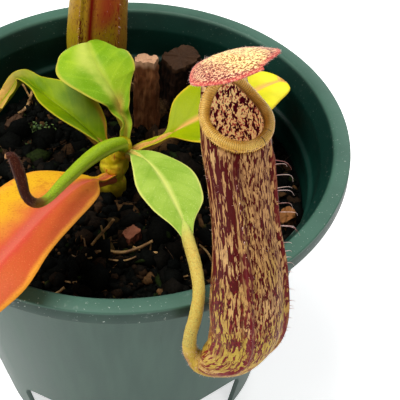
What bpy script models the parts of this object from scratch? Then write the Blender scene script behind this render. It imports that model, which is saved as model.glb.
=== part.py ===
"""A young tropical pitcher plant growing in a round plastic nursery pot.

Everything is in metres with +Z up. The origin lies on the ground under the
middle of the whole plant's footprint, and the pot's own axis stands a little
behind it, because the leaves and the front pitcher hang out over the rim.
Routes are written in millimetres from the pot's axis at ground level.
"""
import math
import random

import bmesh
import bpy
from mathutils import Matrix, Vector

MM = 0.001
GAP = 0.3 * MM                 # air left between pieces that touch
WELD = 0.002 * MM

# ---- pot: driving dimensions -------------------------------------------------
POT_HEIGHT = 87.2 * MM
RIM_RADIUS = 57.0 * MM
RIM_LIP_DROP = 3.8 * MM        # height of the rolled lip's outer face
RIM_FACE_WIDTH = 4.1 * MM      # flat ring on top of the lip
COLLAR_RADIUS = 51.8 * MM      # outside, just under the lip
COLLAR_FOOT = 79.2 * MM        # height where the collar steps in to the cone
CONE_TOP_RADIUS = 50.8 * MM
GROUND_RADIUS = 40.2 * MM
WALL = 1.4 * MM
LEDGE_HEIGHT = 73.2 * MM       # stacking bead inside the pot
LEDGE_RADIUS = 47.8 * MM
FLOOR_TOP = 26.0 * MM
FLOOR_THICK = 1.6 * MM
FLOOR_ROUND = 1.2 * MM         # chamfer where the floor meets the wall inside
LEDGE_TAPER = 4.0 * MM         # height over which the wall thickens to the bead
FOOT_ARCH_HEIGHT = 23.0 * MM
FOOT_ARCH_WIDTH = 22.6 * MM
FOOT_COUNT = 6
DRAIN_RADIUS = 3.5 * MM
DRAIN_CIRCLE = 26.0 * MM
POT_SIDES = 48
POT_BACK = 8.2 * MM            # pot axis behind the middle of the footprint
POT_RIGHT = 0.0 * MM

# ---- potting mix -------------------------------------------------------------
SOIL_TOP = 66.5 * MM
SOIL_RINGS = 7
STEM_HOLE_DEPTH = 24.0 * MM
STEM_HOLE_RADIUS = 3.7 * MM

# ---- plant -------------------------------------------------------------------
BLADE_THICK = 0.8 * MM
BLADE_ROWS = 14
UP = Vector((0.0, 0.0, 1.0))

# one row for each station along the stem: x, y, z, radius
STEM = [
    (-3.5, 0.0, 43.5, 2.2), (-3.5, -0.2, 56.0, 3.0), (-3.5, -0.6, 64.0, 3.1),
    (-3.5, -1.0, 70.0, 3.6), (-3.3, -0.9, 73.0, 2.9), (-2.9, -0.6, 76.3, 3.8),
    (-1.8, -0.6, 79.8, 2.9), (-0.7, -0.8, 82.4, 2.7), (0.0, -0.8, 84.6, 1.7),
]

# one row for each rib of a leaf: x, y, z, rib radius, half width left of the
# rib, half width right of it (seen from the stem), fold up in degrees, curl
LEAF_FRONT = [
    (-0.4, -1.2, 80.6, 1.1, 1.4, 1.3, 35, 0.0), (2.4, -4.8, 83.0, 1.1, 1.6, 1.6, 30, 0.0),
    (5.5, -11.6, 87.1, 0.9, 4.3, 4.4, 18, 0.10), (8.6, -21.7, 90.5, 0.9, 7.8, 6.7, 12, 0.16),
    (10.9, -30.6, 92.0, 1.0, 6.7, 5.8, 10, 0.16), (12.4, -37.2, 92.4, 1.2, 2.4, 2.9, 10, 0.10),
    (13.0, -42.4, 92.3, 1.4, 1.0, 1.0, 5, 0.0), (13.9, -48.7, 92.2, 1.4, 0, 0, 0, 0.0),
    (14.2, -55.0, 91.2, 1.3, 0, 0, 0, 0.0), (13.3, -59.1, 88.3, 1.4, 0, 0, 0, 0.0),
    (12.3, -60.3, 83.9, 1.4, 0, 0, 0, 0.0), (12.1, -60.5, 80.4, 1.5, 0, 0, 0, 0.0),
]
LEAF_UPPER = [
    (0.2, 0.8, 81.6, 1.1, 1.5, 1.5, 45, 0.0), (0.3, 2.5, 86.3, 1.1, 2.2, 2.0, 45, 0.0),
    (-0.7, 3.7, 89.8, 1.1, 2.9, 2.3, 40, 0.0), (-1.3, 5.2, 92.5, 1.0, 4.6, 3.4, 25, 0.05),
    (-3.6, 7.9, 96.0, 0.9, 8.0, 8.2, 14, 0.12), (-5.8, 11.6, 98.5, 0.9, 10.7, 9.6, 10, 0.20),
    (-7.4, 16.1, 99.5, 0.9, 9.1, 8.7, 8, 0.26), (-8.4, 21.4, 98.6, 0.9, 6.0, 3.3, 6, 0.20),
    (-11.6, 24.0, 92.4, 0.9, 1.4, 1.6, 5, 0.0), (-11.8, 26.4, 85.0, 1.0, 0, 0, 0, 0.0),
    (-11.1, 28.2, 78.8, 1.0, 0, 0, 0, 0.0), (-9.5, 30.4, 74.1, 1.2, 0, 0, 0, 0.0),
]
LEAF_LEFT = [
    (-2.0, -0.5, 77.0, 1.1, 1.6, 1.6, 45, 0.0), (-5.6, 1.4, 81.2, 1.1, 1.9, 1.9, 45, 0.0),
    (-8.3, 3.4, 83.4, 1.0, 3.6, 5.2, 38, 0.0), (-13.0, 7.8, 85.4, 0.9, 6.0, 7.8, 34, 0.05),
    (-18.3, 13.0, 86.6, 0.9, 5.3, 6.6, 32, 0.05), (-22.9, 18.0, 87.2, 0.9, 2.0, 3.6, 32, 0.0),
    (-26.8, 21.7, 87.4, 0.9, 2.6, 2.6, 30, 0.0), (-30.2, 19.8, 84.0, 0.9, 2.5, 2.4, 30, 0.0),
    (-32.9, 17.8, 81.4, 0.9, 2.2, 2.2, 20, 0.0), (-36.0, 15.4, 77.4, 0.9, 0, 0, 0, 0.0),
    (-38.2, 11.2, 73.8, 0.9, 0, 0, 0, 0.0), (-37.8, 6.8, 70.6, 0.8, 0, 0, 0, 0.0),
]
LEAF_RIGHT = [
    (-0.8, -0.2, 77.2, 1.1, 1.5, 1.5, 45, 0.0), (4.0, -0.2, 80.6, 1.1, 1.8, 1.7, 40, 0.0),
    (8.0, -0.3, 83.0, 1.0, 1.5, 1.6, 35, 0.0), (11.4, 0.8, 84.4, 0.9, 1.6, 1.9, 25, 0.0),
    (16.5, 2.5, 86.6, 0.9, 8.1, 12.1, 20, 0.04), (24.0, 5.2, 88.6, 0.9, 11.2, 11.4, 16, 0.10),
    (31.0, 8.8, 89.4, 0.9, 11.6, 9.4, 12, 0.14), (36.6, 12.8, 89.2, 0.9, 9.5, 6.2, 10, 0.16),
    (40.6, 16.0, 88.2, 0.8, 5.9, 3.4, 8, 0.12), (43.3, 18.1, 87.3, 0.6, 1.6, 1.3, 0, 0.0),
]
LEAF_OLD = [
    (-2.4, -0.8, 71.5, 1.2, 1.6, 1.6, 45, 0.0), (-4.6, -6.2, 76.4, 1.2, 1.9, 1.9, 35, 0.0),
    (-6.7, -10.8, 80.0, 1.1, 1.8, 1.9, 25, 0.0), (-8.4, -14.4, 84.0, 1.0, 2.1, 3.6, 14, 0.06),
    (-12.0, -21.7, 88.9, 1.0, 6.3, 12.1, 10, 0.12), (-17.4, -32.6, 93.4, 1.0, 7.4, 13.8, 8, 0.14),
    (-22.6, -42.9, 95.8, 1.0, 7.5, 13.2, 8, 0.16), (-28.0, -51.7, 96.1, 1.0, 8.4, 12.0, 8, 0.18),
    (-33.5, -59.0, 92.8, 1.0, 5.8, 8.2, 8, 0.18), (-37.6, -63.6, 87.2, 1.0, 3.0, 4.2, 6, 0.10),
    (-39.8, -66.0, 82.4, 0.9, 1.1, 1.1, 0, 0.0), (-41.0, -67.2, 77.0, 0.7, 0, 0, 0, 0.0),
]
NEW_SHOOT = [
    (-0.5, -1.6, 83.0, 1.6), (-1.2, -4.7, 87.0, 1.7), (-4.7, -10.2, 90.6, 1.9),
    (-8.8, -18.4, 94.6, 1.7), (-13.3, -30.0, 99.7, 1.3), (-16.0, -38.8, 103.9, 1.0),
    (-18.0, -43.5, 107.2, 1.0), (-19.7, -44.4, 110.3, 1.0), (-20.6, -42.4, 114.0, 1.2),
    (-21.8, -40.6, 117.2, 1.0), (-23.2, -40.7, 117.7, 0.4),
]

# one row for each station of a pitcher: x, y, z, outer radius
PITCHER_FRONT = [
    (12.1, -60.6, 79.9, 1.5), (12.3, -60.9, 78.3, 1.6), (13.1, -61.3, 76.8, 1.9),
    (14.7, -62.1, 75.9, 2.8), (17.4, -62.6, 77.2, 4.0), (21.0, -63.2, 81.8, 5.9),
    (23.0, -63.4, 89.5, 7.2), (22.9, -63.4, 98.0, 7.5), (22.3, -62.5, 109.0, 6.8),
    (21.1, -61.1, 118.5, 6.0), (19.9, -59.8, 128.0, 5.9), (18.8, -58.7, 136.0, 6.0),
    (18.2, -57.3, 145.6, 5.8),
]
PITCHER_BACK = [
    (-9.3, 30.7, 73.6, 1.3), (-9.2, 31.3, 72.2, 1.5), (-8.7, 32.6, 71.2, 2.1),
    (-7.9, 34.6, 71.4, 3.6), (-7.2, 36.2, 74.4, 5.8), (-7.0, 36.8, 79.6, 7.6),
    (-6.7, 37.0, 87.0, 8.3), (-6.0, 36.7, 96.0, 8.0), (-4.9, 36.4, 106.1, 7.6),
    (-4.1, 36.6, 116.0, 7.2), (-3.4, 36.8, 126.0, 6.9), (-3.0, 37.2, 134.0, 6.9),
    (-2.6, 37.8, 144.0, 7.0),
]
PITCHER_SIDES = 16
PITCHER_WALL = 0.8 * MM
CAVITY_DEPTH = 6.9             # rows from the last one down to the hollow's end
CAVITY_OVER = 2.0 * MM         # the hollow's cutter above the body's top
FIN_DEPTH = 7.5                # rows from the last one down to the fins' ends
MOUTH_BACK = 0.62              # mouth's middle, in rows back from the last one
MOUTH_TILT = math.radians(22.0)
COLLAR_TUBE = 0.88 * MM        # radius of the rolled collar round the mouth
RIM_INSET = 0.55 * MM          # collar's middle line inside the body's outer skin
NECK_RISE = 3.0 * MM           # how far the mouth's back runs up towards the lid
CUTTER_DEEP = 30.0 * MM        # height of the block that opens a mouth
FIN_RADIUS = 0.75 * MM
# each fin's turn from the front at the mouth, and its growth with each row down
FIN_SPREAD = {-1: math.radians(39.0), 1: math.radians(43.0)}
FIN_SWING = {-1: math.radians(-3.0), 1: math.radians(1.5)}
LID_RISE = math.radians(26.5)  # lid's heading above the level
LID_TURN = math.radians(7.0)   # lid's heading past the mouth's, towards its right
LID_ROLL = math.radians(4.0)   # lid's left side lower than its right
LID_LONG = 7.8 * MM            # half lengths of the lid's oval
LID_WIDE = 7.3 * MM
LID_DOME = 1.3 * MM            # lid's middle above its edge
LID_SIDE = 0.5 * MM            # further drop of the lid's two sides
LID_BACK = 2.6 * MM            # how far the lid's edge reaches behind its hinge
LID_SHIFT = 1.5 * MM           # lid's middle to the left of its hinge
HINGE_BACK = 0.4 * MM          # hinge behind and above the back of the mouth
HINGE_RISE = 2.7 * MM
HAIR_LENGTH = 3.6 * MM


# ---- scene helpers -----------------------------------------------------------
def clear_scene():
    """Remove every object, and the meshes that they leave behind."""
    for obj in list(bpy.data.objects):
        bpy.data.objects.remove(obj, do_unlink=True)
    for mesh in list(bpy.data.meshes):
        bpy.data.meshes.remove(mesh)


def new_collection(name):
    coll = bpy.data.collections.new(name)
    bpy.context.scene.collection.children.link(coll)
    return coll


def finish(name, colour, roughness):
    """A plain Principled material."""
    mat = bpy.data.materials.new(name)
    mat.use_nodes = True
    bsdf = mat.node_tree.nodes["Principled BSDF"]
    bsdf.inputs["Base Color"].default_value = (*colour, 1.0)
    bsdf.inputs["Roughness"].default_value = roughness
    bsdf.inputs["Metallic"].default_value = 0.0
    return mat


def add_object(name, data, coll):
    obj = bpy.data.objects.new(name, data)
    coll.objects.link(obj)
    return obj


def bake(obj):
    """Apply every modifier, so that the object holds its final mesh."""
    depsgraph = bpy.context.evaluated_depsgraph_get()
    mesh = bpy.data.meshes.new_from_object(obj.evaluated_get(depsgraph))
    obj.modifiers.clear()
    obj.data = mesh
    return obj


def drop(objects):
    for obj in objects:
        bpy.data.objects.remove(obj, do_unlink=True)


def as_cutter(obj):
    obj.hide_render = True
    obj.display_type = 'WIRE'
    return obj


def fuse(obj, extras):
    """Join the extra solids to obj as one body, and remove them."""
    joining = new_collection("joining")
    for extra in extras:
        for coll in list(extra.users_collection):
            coll.objects.unlink(extra)
        joining.objects.link(extra)
    mod = obj.modifiers.new("join", 'BOOLEAN')
    mod.operation = 'UNION'
    mod.operand_type = 'COLLECTION'
    mod.collection = joining
    mod.solver = 'EXACT'
    bake(obj)
    drop(extras)
    bpy.data.collections.remove(joining)
    return obj


def cut(obj, cutter):
    mod = obj.modifiers.new("cut", 'BOOLEAN')
    mod.operation = 'DIFFERENCE'
    mod.object = cutter
    mod.solver = 'EXACT'
    return bake(obj)


def keep_largest(obj):
    """Drop the loose scraps that a cut can leave, and weld what is left."""
    bm = bmesh.new()
    bm.from_mesh(obj.data)
    bmesh.ops.remove_doubles(bm, verts=bm.verts, dist=WELD)
    seen, islands = set(), []
    for start in bm.faces:
        if start in seen:
            continue
        stack, island = [start], []
        seen.add(start)
        while stack:
            face = stack.pop()
            island.append(face)
            for edge in face.edges:
                for other in edge.link_faces:
                    if other not in seen:
                        seen.add(other)
                        stack.append(other)
        islands.append(island)
    islands.sort(key=len, reverse=True)
    scraps = [face for island in islands[1:] for face in island]
    bmesh.ops.delete(bm, geom=scraps, context='FACES')
    bm.to_mesh(obj.data)
    bm.free()
    return obj


def smooth(obj, mat):
    obj.data.materials.clear()
    obj.data.materials.append(mat)
    obj.data.shade_smooth()
    obj.data.set_sharp_from_angle(angle=math.radians(35.0))
    return obj


# ---- curves through stations -------------------------------------------------
def blend_rows(rows, place):
    """Catmull-Rom blend of table rows at a fractional row number."""
    last = len(rows) - 1
    place = min(max(place, 0.0), float(last))
    i = min(int(place), last - 1)
    t = place - i
    a, b, c, d = (rows[min(max(i + k, 0), last)] for k in (-1, 0, 1, 2))
    blended = []
    for p, q, r, s in zip(a, b, c, d):
        blended.append(0.5 * (2 * q + (r - p) * t + (2 * p - 5 * q + 4 * r - s) * t * t
                              + (3 * q - p - 3 * r + s) * t ** 3))
    return blended


def centre_at(rows, place):
    return Vector(blend_rows(rows, place)[:3]) * MM


def heading_at(rows, place):
    step = 0.02
    ahead = centre_at(rows, place + step) - centre_at(rows, place - step)
    return ahead.normalized()


def spread(first, last, count):
    return [first + (last - first) * k / (count - 1) for k in range(count)]


def tube(name, stations, sides, coll, cyclic=False):
    """A round tube through (point, radius) stations, as a closed mesh."""
    curve = bpy.data.curves.new(name, 'CURVE')
    curve.dimensions = '3D'
    curve.bevel_depth = 1.0
    curve.bevel_resolution = (sides - 4) // 2
    curve.use_fill_caps = not cyclic
    spline = curve.splines.new('POLY')
    spline.points.add(len(stations) - 1)
    for point, (place, radius) in zip(spline.points, stations):
        point.co = (*place, 1.0)
        point.radius = radius
    spline.use_cyclic_u = cyclic
    drawn = add_object(name + "_line", curve, coll)
    depsgraph = bpy.context.evaluated_depsgraph_get()
    mesh = bpy.data.meshes.new_from_object(drawn.evaluated_get(depsgraph))
    bm = bmesh.new()
    bm.from_mesh(mesh)
    bmesh.ops.remove_doubles(bm, verts=bm.verts, dist=WELD)
    bmesh.ops.recalc_face_normals(bm, faces=bm.faces)
    bm.to_mesh(mesh)
    bm.free()
    obj = add_object(name, mesh, coll)
    obj.matrix_world = drawn.matrix_world
    drop([drawn])
    bpy.data.curves.remove(curve)
    return obj


def row_tube(name, rows, first, last, count, sides, coll, grow=0.0, column=3):
    """A tube along a table's route, its radius taken from one column."""
    stations = []
    for place in spread(first, last, count):
        row = blend_rows(rows, place)
        stations.append((Vector(row[:3]) * MM, row[column] * MM + grow))
    return tube(name, stations, sides, coll)


# ---- pot ---------------------------------------------------------------------
def cone_radius(height):
    """Outer radius of the pot's tapered wall."""
    share = height / COLLAR_FOOT
    return GROUND_RADIUS + (CONE_TOP_RADIUS - GROUND_RADIUS) * share


def inner_radius(height):
    """Inner radius of the pot between its floor and the stacking bead."""
    low, high = FLOOR_TOP + FLOOR_ROUND, LEDGE_HEIGHT - LEDGE_TAPER
    start = cone_radius(FLOOR_TOP) - WALL
    return start + (LEDGE_RADIUS - start) * (height - low) / (high - low)


def turned(name, profile, sides, coll):
    """Revolve an (r, z) profile round Z; its outer side runs top to bottom."""
    mesh = bpy.data.meshes.new(name)
    verts = [(r, 0.0, z) for r, z in profile]
    mesh.from_pydata(verts, [(i, i + 1) for i in range(len(verts) - 1)], [])
    obj = add_object(name, mesh, coll)
    screw = obj.modifiers.new("turn", 'SCREW')
    screw.steps = screw.render_steps = sides
    screw.use_merge_vertices = True
    screw.merge_threshold = WELD
    screw.use_smooth_shade = True
    return obj


def build_pot(coll, cutters):
    lip_low = POT_HEIGHT - RIM_LIP_DROP
    face_inner = RIM_RADIUS - RIM_FACE_WIDTH
    soft = 0.5 * MM
    profile = [
        (0.0, FLOOR_TOP),
        (cone_radius(FLOOR_TOP) - WALL - FLOOR_ROUND, FLOOR_TOP),
        (cone_radius(FLOOR_TOP) - WALL, FLOOR_TOP + FLOOR_ROUND),
        (LEDGE_RADIUS, LEDGE_HEIGHT - LEDGE_TAPER),
        (LEDGE_RADIUS, LEDGE_HEIGHT),
        (LEDGE_RADIUS + 1.3 * MM, LEDGE_HEIGHT + 0.8 * MM),
        (COLLAR_RADIUS - WALL - 0.4 * MM, lip_low - 1.0 * MM),
        (face_inner - 0.7 * MM, POT_HEIGHT - 1.2 * MM),
        (face_inner + soft, POT_HEIGHT),
        (RIM_RADIUS - soft, POT_HEIGHT),
        (RIM_RADIUS, POT_HEIGHT - soft),
        (RIM_RADIUS + 0.1 * MM, lip_low),
        (COLLAR_RADIUS + 0.4 * MM, lip_low - 0.2 * MM),
        (COLLAR_RADIUS, lip_low - 0.8 * MM),
        (CONE_TOP_RADIUS + 0.8 * MM, COLLAR_FOOT + 0.3 * MM),
        (CONE_TOP_RADIUS, COLLAR_FOOT - 0.5 * MM),
        (GROUND_RADIUS + 0.1 * MM, 0.4 * MM),
        (GROUND_RADIUS - 0.3 * MM, 0.0),
        (GROUND_RADIUS - WALL, 0.0),
        (cone_radius(FLOOR_TOP) - WALL - 0.4 * MM, FLOOR_TOP - FLOOR_THICK),
        (0.0, FLOOR_TOP - FLOOR_THICK),
    ]
    pot = bake(turned("pot", profile, POT_SIDES, coll))
    for k in range(FOOT_COUNT // 2):
        turn = math.radians(30.0 + 60.0 * k)
        arch = arch_cutter("foot_arch_%d" % (k + 1), turn, cutters)
        cut(pot, arch)
    for k in range(FOOT_COUNT):
        turn = math.radians(60.0 * k)
        drain = drain_cutter("drain_hole_%d" % (k + 1), turn, cutters)
        cut(pot, drain)
    return smooth(pot, finish("green_plastic", (0.05, 0.13, 0.10), 0.45))


def arch_cutter(name, turn, cutters):
    """A bar with an arched top that opens two facing gaps between the feet."""
    half = FOOT_ARCH_WIDTH / 2
    crown = 8.0 * MM
    spring = FOOT_ARCH_HEIGHT - crown
    outline = [(-half, -2.0 * MM), (half, -2.0 * MM), (half, spring)]
    for k in range(1, 8):
        angle = math.pi * k / 8
        outline.append((half * math.cos(angle), spring + crown * math.sin(angle)))
    outline.append((-half, spring))
    curve = bpy.data.curves.new(name, 'CURVE')
    curve.dimensions = '2D'
    curve.fill_mode = 'BOTH'
    curve.extrude = RIM_RADIUS
    spline = curve.splines.new('POLY')
    spline.points.add(len(outline) - 1)
    for point, (across, up) in zip(spline.points, outline):
        point.co = (across, up, 0.0, 1.0)
    spline.use_cyclic_u = True
    drawn = add_object(name + "_outline", curve, cutters)
    stand = Matrix.Rotation(turn, 4, 'Z') @ Matrix.Rotation(math.radians(90.0), 4, 'X')
    depsgraph = bpy.context.evaluated_depsgraph_get()
    mesh = bpy.data.meshes.new_from_object(drawn.evaluated_get(depsgraph))
    mesh.transform(stand)
    bm = bmesh.new()
    bm.from_mesh(mesh)
    bmesh.ops.remove_doubles(bm, verts=bm.verts, dist=WELD)
    bmesh.ops.recalc_face_normals(bm, faces=bm.faces)
    bm.to_mesh(mesh)
    bm.free()
    drop([drawn])
    return as_cutter(add_object(name, mesh, cutters))


def drain_cutter(name, turn, cutters):
    mesh = bpy.data.meshes.new(name)
    bm = bmesh.new()
    place = Matrix.Rotation(turn, 4, 'Z') @ Matrix.Translation((DRAIN_CIRCLE, 0, FLOOR_TOP))
    bmesh.ops.create_cone(bm, cap_ends=True, segments=12, radius1=DRAIN_RADIUS,
                          radius2=DRAIN_RADIUS, depth=4 * FLOOR_THICK, matrix=place)
    bm.to_mesh(mesh)
    bm.free()
    return as_cutter(add_object(name, mesh, cutters))


# ---- potting mix -------------------------------------------------------------
def mix_relief(x, y):
    """Lumps of the potting mix: a few crossed waves, flat near the wall."""
    r = math.hypot(x, y)
    a, b = x / MM, y / MM
    lumps = (0.55 * math.sin(0.31 * a + 1.1) * math.cos(0.27 * b - 0.4)
             + 0.40 * math.sin(0.53 * a - 0.37 * b + 2.0)
             + 0.30 * math.cos(0.71 * b + 0.22 * a))
    mound = 2.2 * math.exp(-((a + 6) ** 2 / 300.0 + (b + 24) ** 2 / 90.0))
    fade = min(1.0, max(0.0, (45.5 * MM - r) / (5.0 * MM)))
    return (lumps + mound) * fade * MM


def mix_height(x, y, pads):
    """Height of the mix, levelled to a pad under each thing that lies on it."""
    height = SOIL_TOP + mix_relief(x, y)
    for px, py, reach, level in pads:
        away = math.hypot(x - px, y - py)
        share = min(1.0, max(0.0, (away - reach) / (3.0 * MM)))
        height = level + (height - level) * share
    return height


def build_mix(coll, cutters, pads):
    low = FLOOR_TOP + GAP
    clear = 1.4 * GAP              # a little more, because both rings are polygons
    turn_up = low + FLOOR_ROUND
    top_radius = inner_radius(SOIL_TOP) - clear
    profile = [(top_radius * k / SOIL_RINGS, SOIL_TOP) for k in range(SOIL_RINGS + 1)]
    profile += [
        (inner_radius(turn_up) - clear, turn_up),
        (inner_radius(turn_up) - clear - FLOOR_ROUND, low),
        (0.0, low),
    ]
    mix = bake(turned("potting_mix", profile, POT_SIDES, coll))
    for vert in mix.data.vertices:
        if vert.co.z > SOIL_TOP - 0.1 * MM:
            vert.co.z = mix_height(vert.co.x, vert.co.y, pads)
    hole = bpy.data.meshes.new("stem_hole")
    bm = bmesh.new()
    x, y = STEM[1][0] * MM, STEM[2][1] * MM
    place = Matrix.Translation((x, y, SOIL_TOP))
    bmesh.ops.create_cone(bm, cap_ends=True, segments=16, radius1=STEM_HOLE_RADIUS,
                          radius2=STEM_HOLE_RADIUS, depth=2 * STEM_HOLE_DEPTH, matrix=place)
    bm.to_mesh(hole)
    bm.free()
    cut(mix, as_cutter(add_object("stem_hole", hole, cutters)))
    return smooth(mix, finish("potting_mix", (0.03, 0.025, 0.02), 0.95))


# ---- bark, straws ------------------------------------------------------------
def bark_piece(name, size, place, turn, seed, coll, mat):
    """A split piece of bark: the hull of jittered corners, flat underneath."""
    draw = random.Random(seed)
    mesh = bpy.data.meshes.new(name)
    bm = bmesh.new()
    for level in (0.0, 0.45, 1.0):
        waist = 1.0 - 0.22 * level
        for corner in range(7):
            angle = 2 * math.pi * corner / 7 + draw.uniform(-0.25, 0.25)
            push = waist * draw.uniform(0.82, 1.0)
            rise = level * draw.uniform(0.86, 1.0)
            square = 1.0 / max(abs(math.cos(angle)), abs(math.sin(angle))) ** 0.6
            bm.verts.new((0.5 * size[0] * MM * push * square * math.cos(angle),
                          0.5 * size[1] * MM * push * square * math.sin(angle),
                          size[2] * MM * rise))
    bmesh.ops.convex_hull(bm, input=bm.verts)
    bmesh.ops.delete(bm, geom=[v for v in bm.verts if not v.link_faces], context='VERTS')
    bmesh.ops.recalc_face_normals(bm, faces=bm.faces)
    bm.to_mesh(mesh)
    bm.free()
    obj = add_object(name, mesh, coll)
    obj.location = Vector(place) * MM
    obj.rotation_euler = (0.0, 0.0, math.radians(turn))
    obj.data.materials.append(mat)
    return obj


# name, size (length, width, height), place, turn in degrees, seed
BARK = [
    ("bark_slab", (8.5, 4.6, 25.0), (6.6, 24.0), -18.0, 11),
    ("bark_block", (14.0, 11.0, 17.0), (17.0, 36.0), 30.0, 5),
    ("bark_chip_right", (8.0, 5.0, 4.0), (40.5, -15.5), 40.0, 21),
    ("bark_chip_front", (6.0, 4.4, 3.4), (0.8, -18.6), 35.0, 8),
    ("bark_chip_left", (9.0, 6.0, 3.6), (-30.0, -10.0), 20.0, 33),
    ("bark_chip_back", (9.0, 6.0, 5.0), (38.5, 18.5), -35.0, 44),
    ("bark_chip_side", (7.0, 5.5, 4.2), (-30.5, 24.0), 55.0, 61),
]
PAD_LEVEL = SOIL_TOP


def build_bark(coll):
    mat = finish("bark", (0.16, 0.07, 0.04), 0.85)
    pieces = []
    for name, size, (x, y), turn, seed in BARK:
        place = (x, y, (PAD_LEVEL + GAP) / MM)
        pieces.append(bark_piece(name, size, place, turn, seed, coll, mat))
    return pieces


# one straw for each name: stations x, y and height over the mix, then a radius
STRAWS = {
    "straw_back": ([(1.0, 41.5, 0.2), (8.0, 43.0, 0.9), (15.0, 42.8, 0.2)], 0.6),
    "straw_front": ([(-10.5, -25.4, 0.5), (-3.4, -24.6, 0.6), (6.0, -23.4, 3.4)], 0.45),
    "straw_slanted": ([(-9.0, -21.6, 0.5), (-6.4, -20.6, 4.0), (-3.4, -19.6, 8.4)], 0.4),
    "straw_side": ([(-30.0, 30.6, 0.4), (-27.0, 33.6, 1.6), (-24.6, 37.4, 9.0)], 0.5),
}


def build_straws(coll, pads):
    mat = finish("dry_straw", (0.45, 0.30, 0.13), 0.8)
    straws = []
    for name, (route, radius) in STRAWS.items():
        stations = []
        for place in spread(0, len(route) - 1, 7):
            x, y, lift = (value * MM for value in blend_rows(route, place))
            height = mix_height(x, y, pads) + radius * MM + GAP + lift
            stations.append((Vector((x, y, height)), radius * MM))
        straws.append(smooth(tube(name, stations, 6, coll), mat))
    return straws


# ---- stem and leaves ---------------------------------------------------------
def build_stem(coll):
    stem = row_tube("stem", STEM, 0, len(STEM) - 1, 19, 12, coll)
    return smooth(stem, finish("stem_green", (0.42, 0.42, 0.08), 0.5))


def leaf_point(rows, place, across):
    """A point of the blade: across runs from -1 (left edge) to 1 (right)."""
    x, y, z, _, left, right, fold, curl = blend_rows(rows, place)
    ahead = heading_at(rows, place)
    side = ahead.cross(UP).normalized()
    over = side.cross(ahead)
    width = max(left if across < 0 else right, 0.6) * MM
    fold = math.radians(fold)
    out = abs(across)
    reach = width * out * math.cos(fold)
    lift = width * (out * math.sin(fold) - curl * out * out)
    return Vector((x, y, z)) * MM + side * math.copysign(reach, across) + over * lift


def blade_end(rows):
    """Row number where the blade has run out and only the tendril goes on."""
    return max(i for i, row in enumerate(rows) if row[4] > 0)


def build_leaf(name, rows, coll, stem_room, mat, ribs):
    """Blade, rib and tendril fused, and cut clear of the stem."""
    mesh = bpy.data.meshes.new(name)
    bm = bmesh.new()
    bmesh.ops.create_grid(bm, x_segments=BLADE_ROWS, y_segments=6, size=1.0)
    end = blade_end(rows)
    for vert in bm.verts:
        share = (vert.co.x + 1.0) / 2.0
        vert.co = leaf_point(rows, 0.15 + (end - 0.15) * share, vert.co.y)
    bmesh.ops.recalc_face_normals(bm, faces=bm.faces)
    bmesh.ops.triangulate(bm, faces=bm.faces)
    bm.to_mesh(mesh)
    bm.free()
    leaf = add_object(name, mesh, coll)
    body = leaf.modifiers.new("thickness", 'SOLIDIFY')
    body.thickness = BLADE_THICK
    body.offset = 0.0
    bake(leaf)
    rib = row_tube(name + "_rib", rows, 0, len(rows) - 1, ribs, 6, coll)
    fuse(leaf, [rib])
    cut(leaf, stem_room)
    return smooth(keep_largest(leaf), mat)


# ---- pitchers ----------------------------------------------------------------
def mouth_frame(rows, front):
    """Middle of the mouth, its slope, its side and its normal."""
    last = len(rows) - 1
    middle = centre_at(rows, last - MOUTH_BACK)
    axis = heading_at(rows, last - MOUTH_BACK)
    facing = Vector((math.sin(front), -math.cos(front), 0.0))
    side = axis.cross(facing).normalized()
    facing = side.cross(axis).normalized()
    normal = (axis * math.cos(MOUTH_TILT) + facing * math.sin(MOUTH_TILT)).normalized()
    slope = side.cross(normal).normalized()
    return middle, slope, side, normal


def fin_route(rows, front, mark, first, last, count):
    """Stations of one fin; the two fins stand further apart lower down."""
    stations = []
    for place in spread(first, last, count):
        row = blend_rows(rows, place)
        below = len(rows) - 2.5 - place
        turn = front + mark * (FIN_SPREAD[mark] + FIN_SWING[mark] * below)
        ahead = heading_at(rows, place)
        out = Vector((math.sin(turn), -math.cos(turn), 0.0))
        out = (out - ahead * out.dot(ahead)).normalized()
        centre = Vector(row[:3]) * MM
        stations.append((centre + out * (row[3] * MM + 0.25 * MM), out))
    return stations


def hair(name, root, out, lean, length, coll):
    """One stiff fringe hair: a slim three-sided spike, sunk into the fin."""
    mesh = bpy.data.meshes.new(name)
    bm = bmesh.new()
    bmesh.ops.create_cone(bm, cap_ends=True, segments=3, radius1=0.42 * MM,
                          radius2=0.2 * MM, depth=length)
    bm.to_mesh(mesh)
    bm.free()
    obj = add_object(name, mesh, coll)
    aim = (out + lean).normalized()
    obj.matrix_world = (Matrix.Translation(root + aim * (0.5 * length - 0.5 * MM))
                        @ UP.rotation_difference(aim).to_matrix().to_4x4())
    return obj


def mouth_lift(down, along):
    """Rise of the mouth's edge above its plane, at a place down its slope."""
    return NECK_RISE * max(0.0, -down / along) ** 3


def collar_lift(down, along):
    """Height of the collar's middle line, so that it rides just on the edge."""
    steep = 3.0 * NECK_RISE / along * max(0.0, -down / along) ** 2
    return mouth_lift(down, along) + (COLLAR_TUBE + GAP) * math.hypot(1.0, steep)


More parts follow.
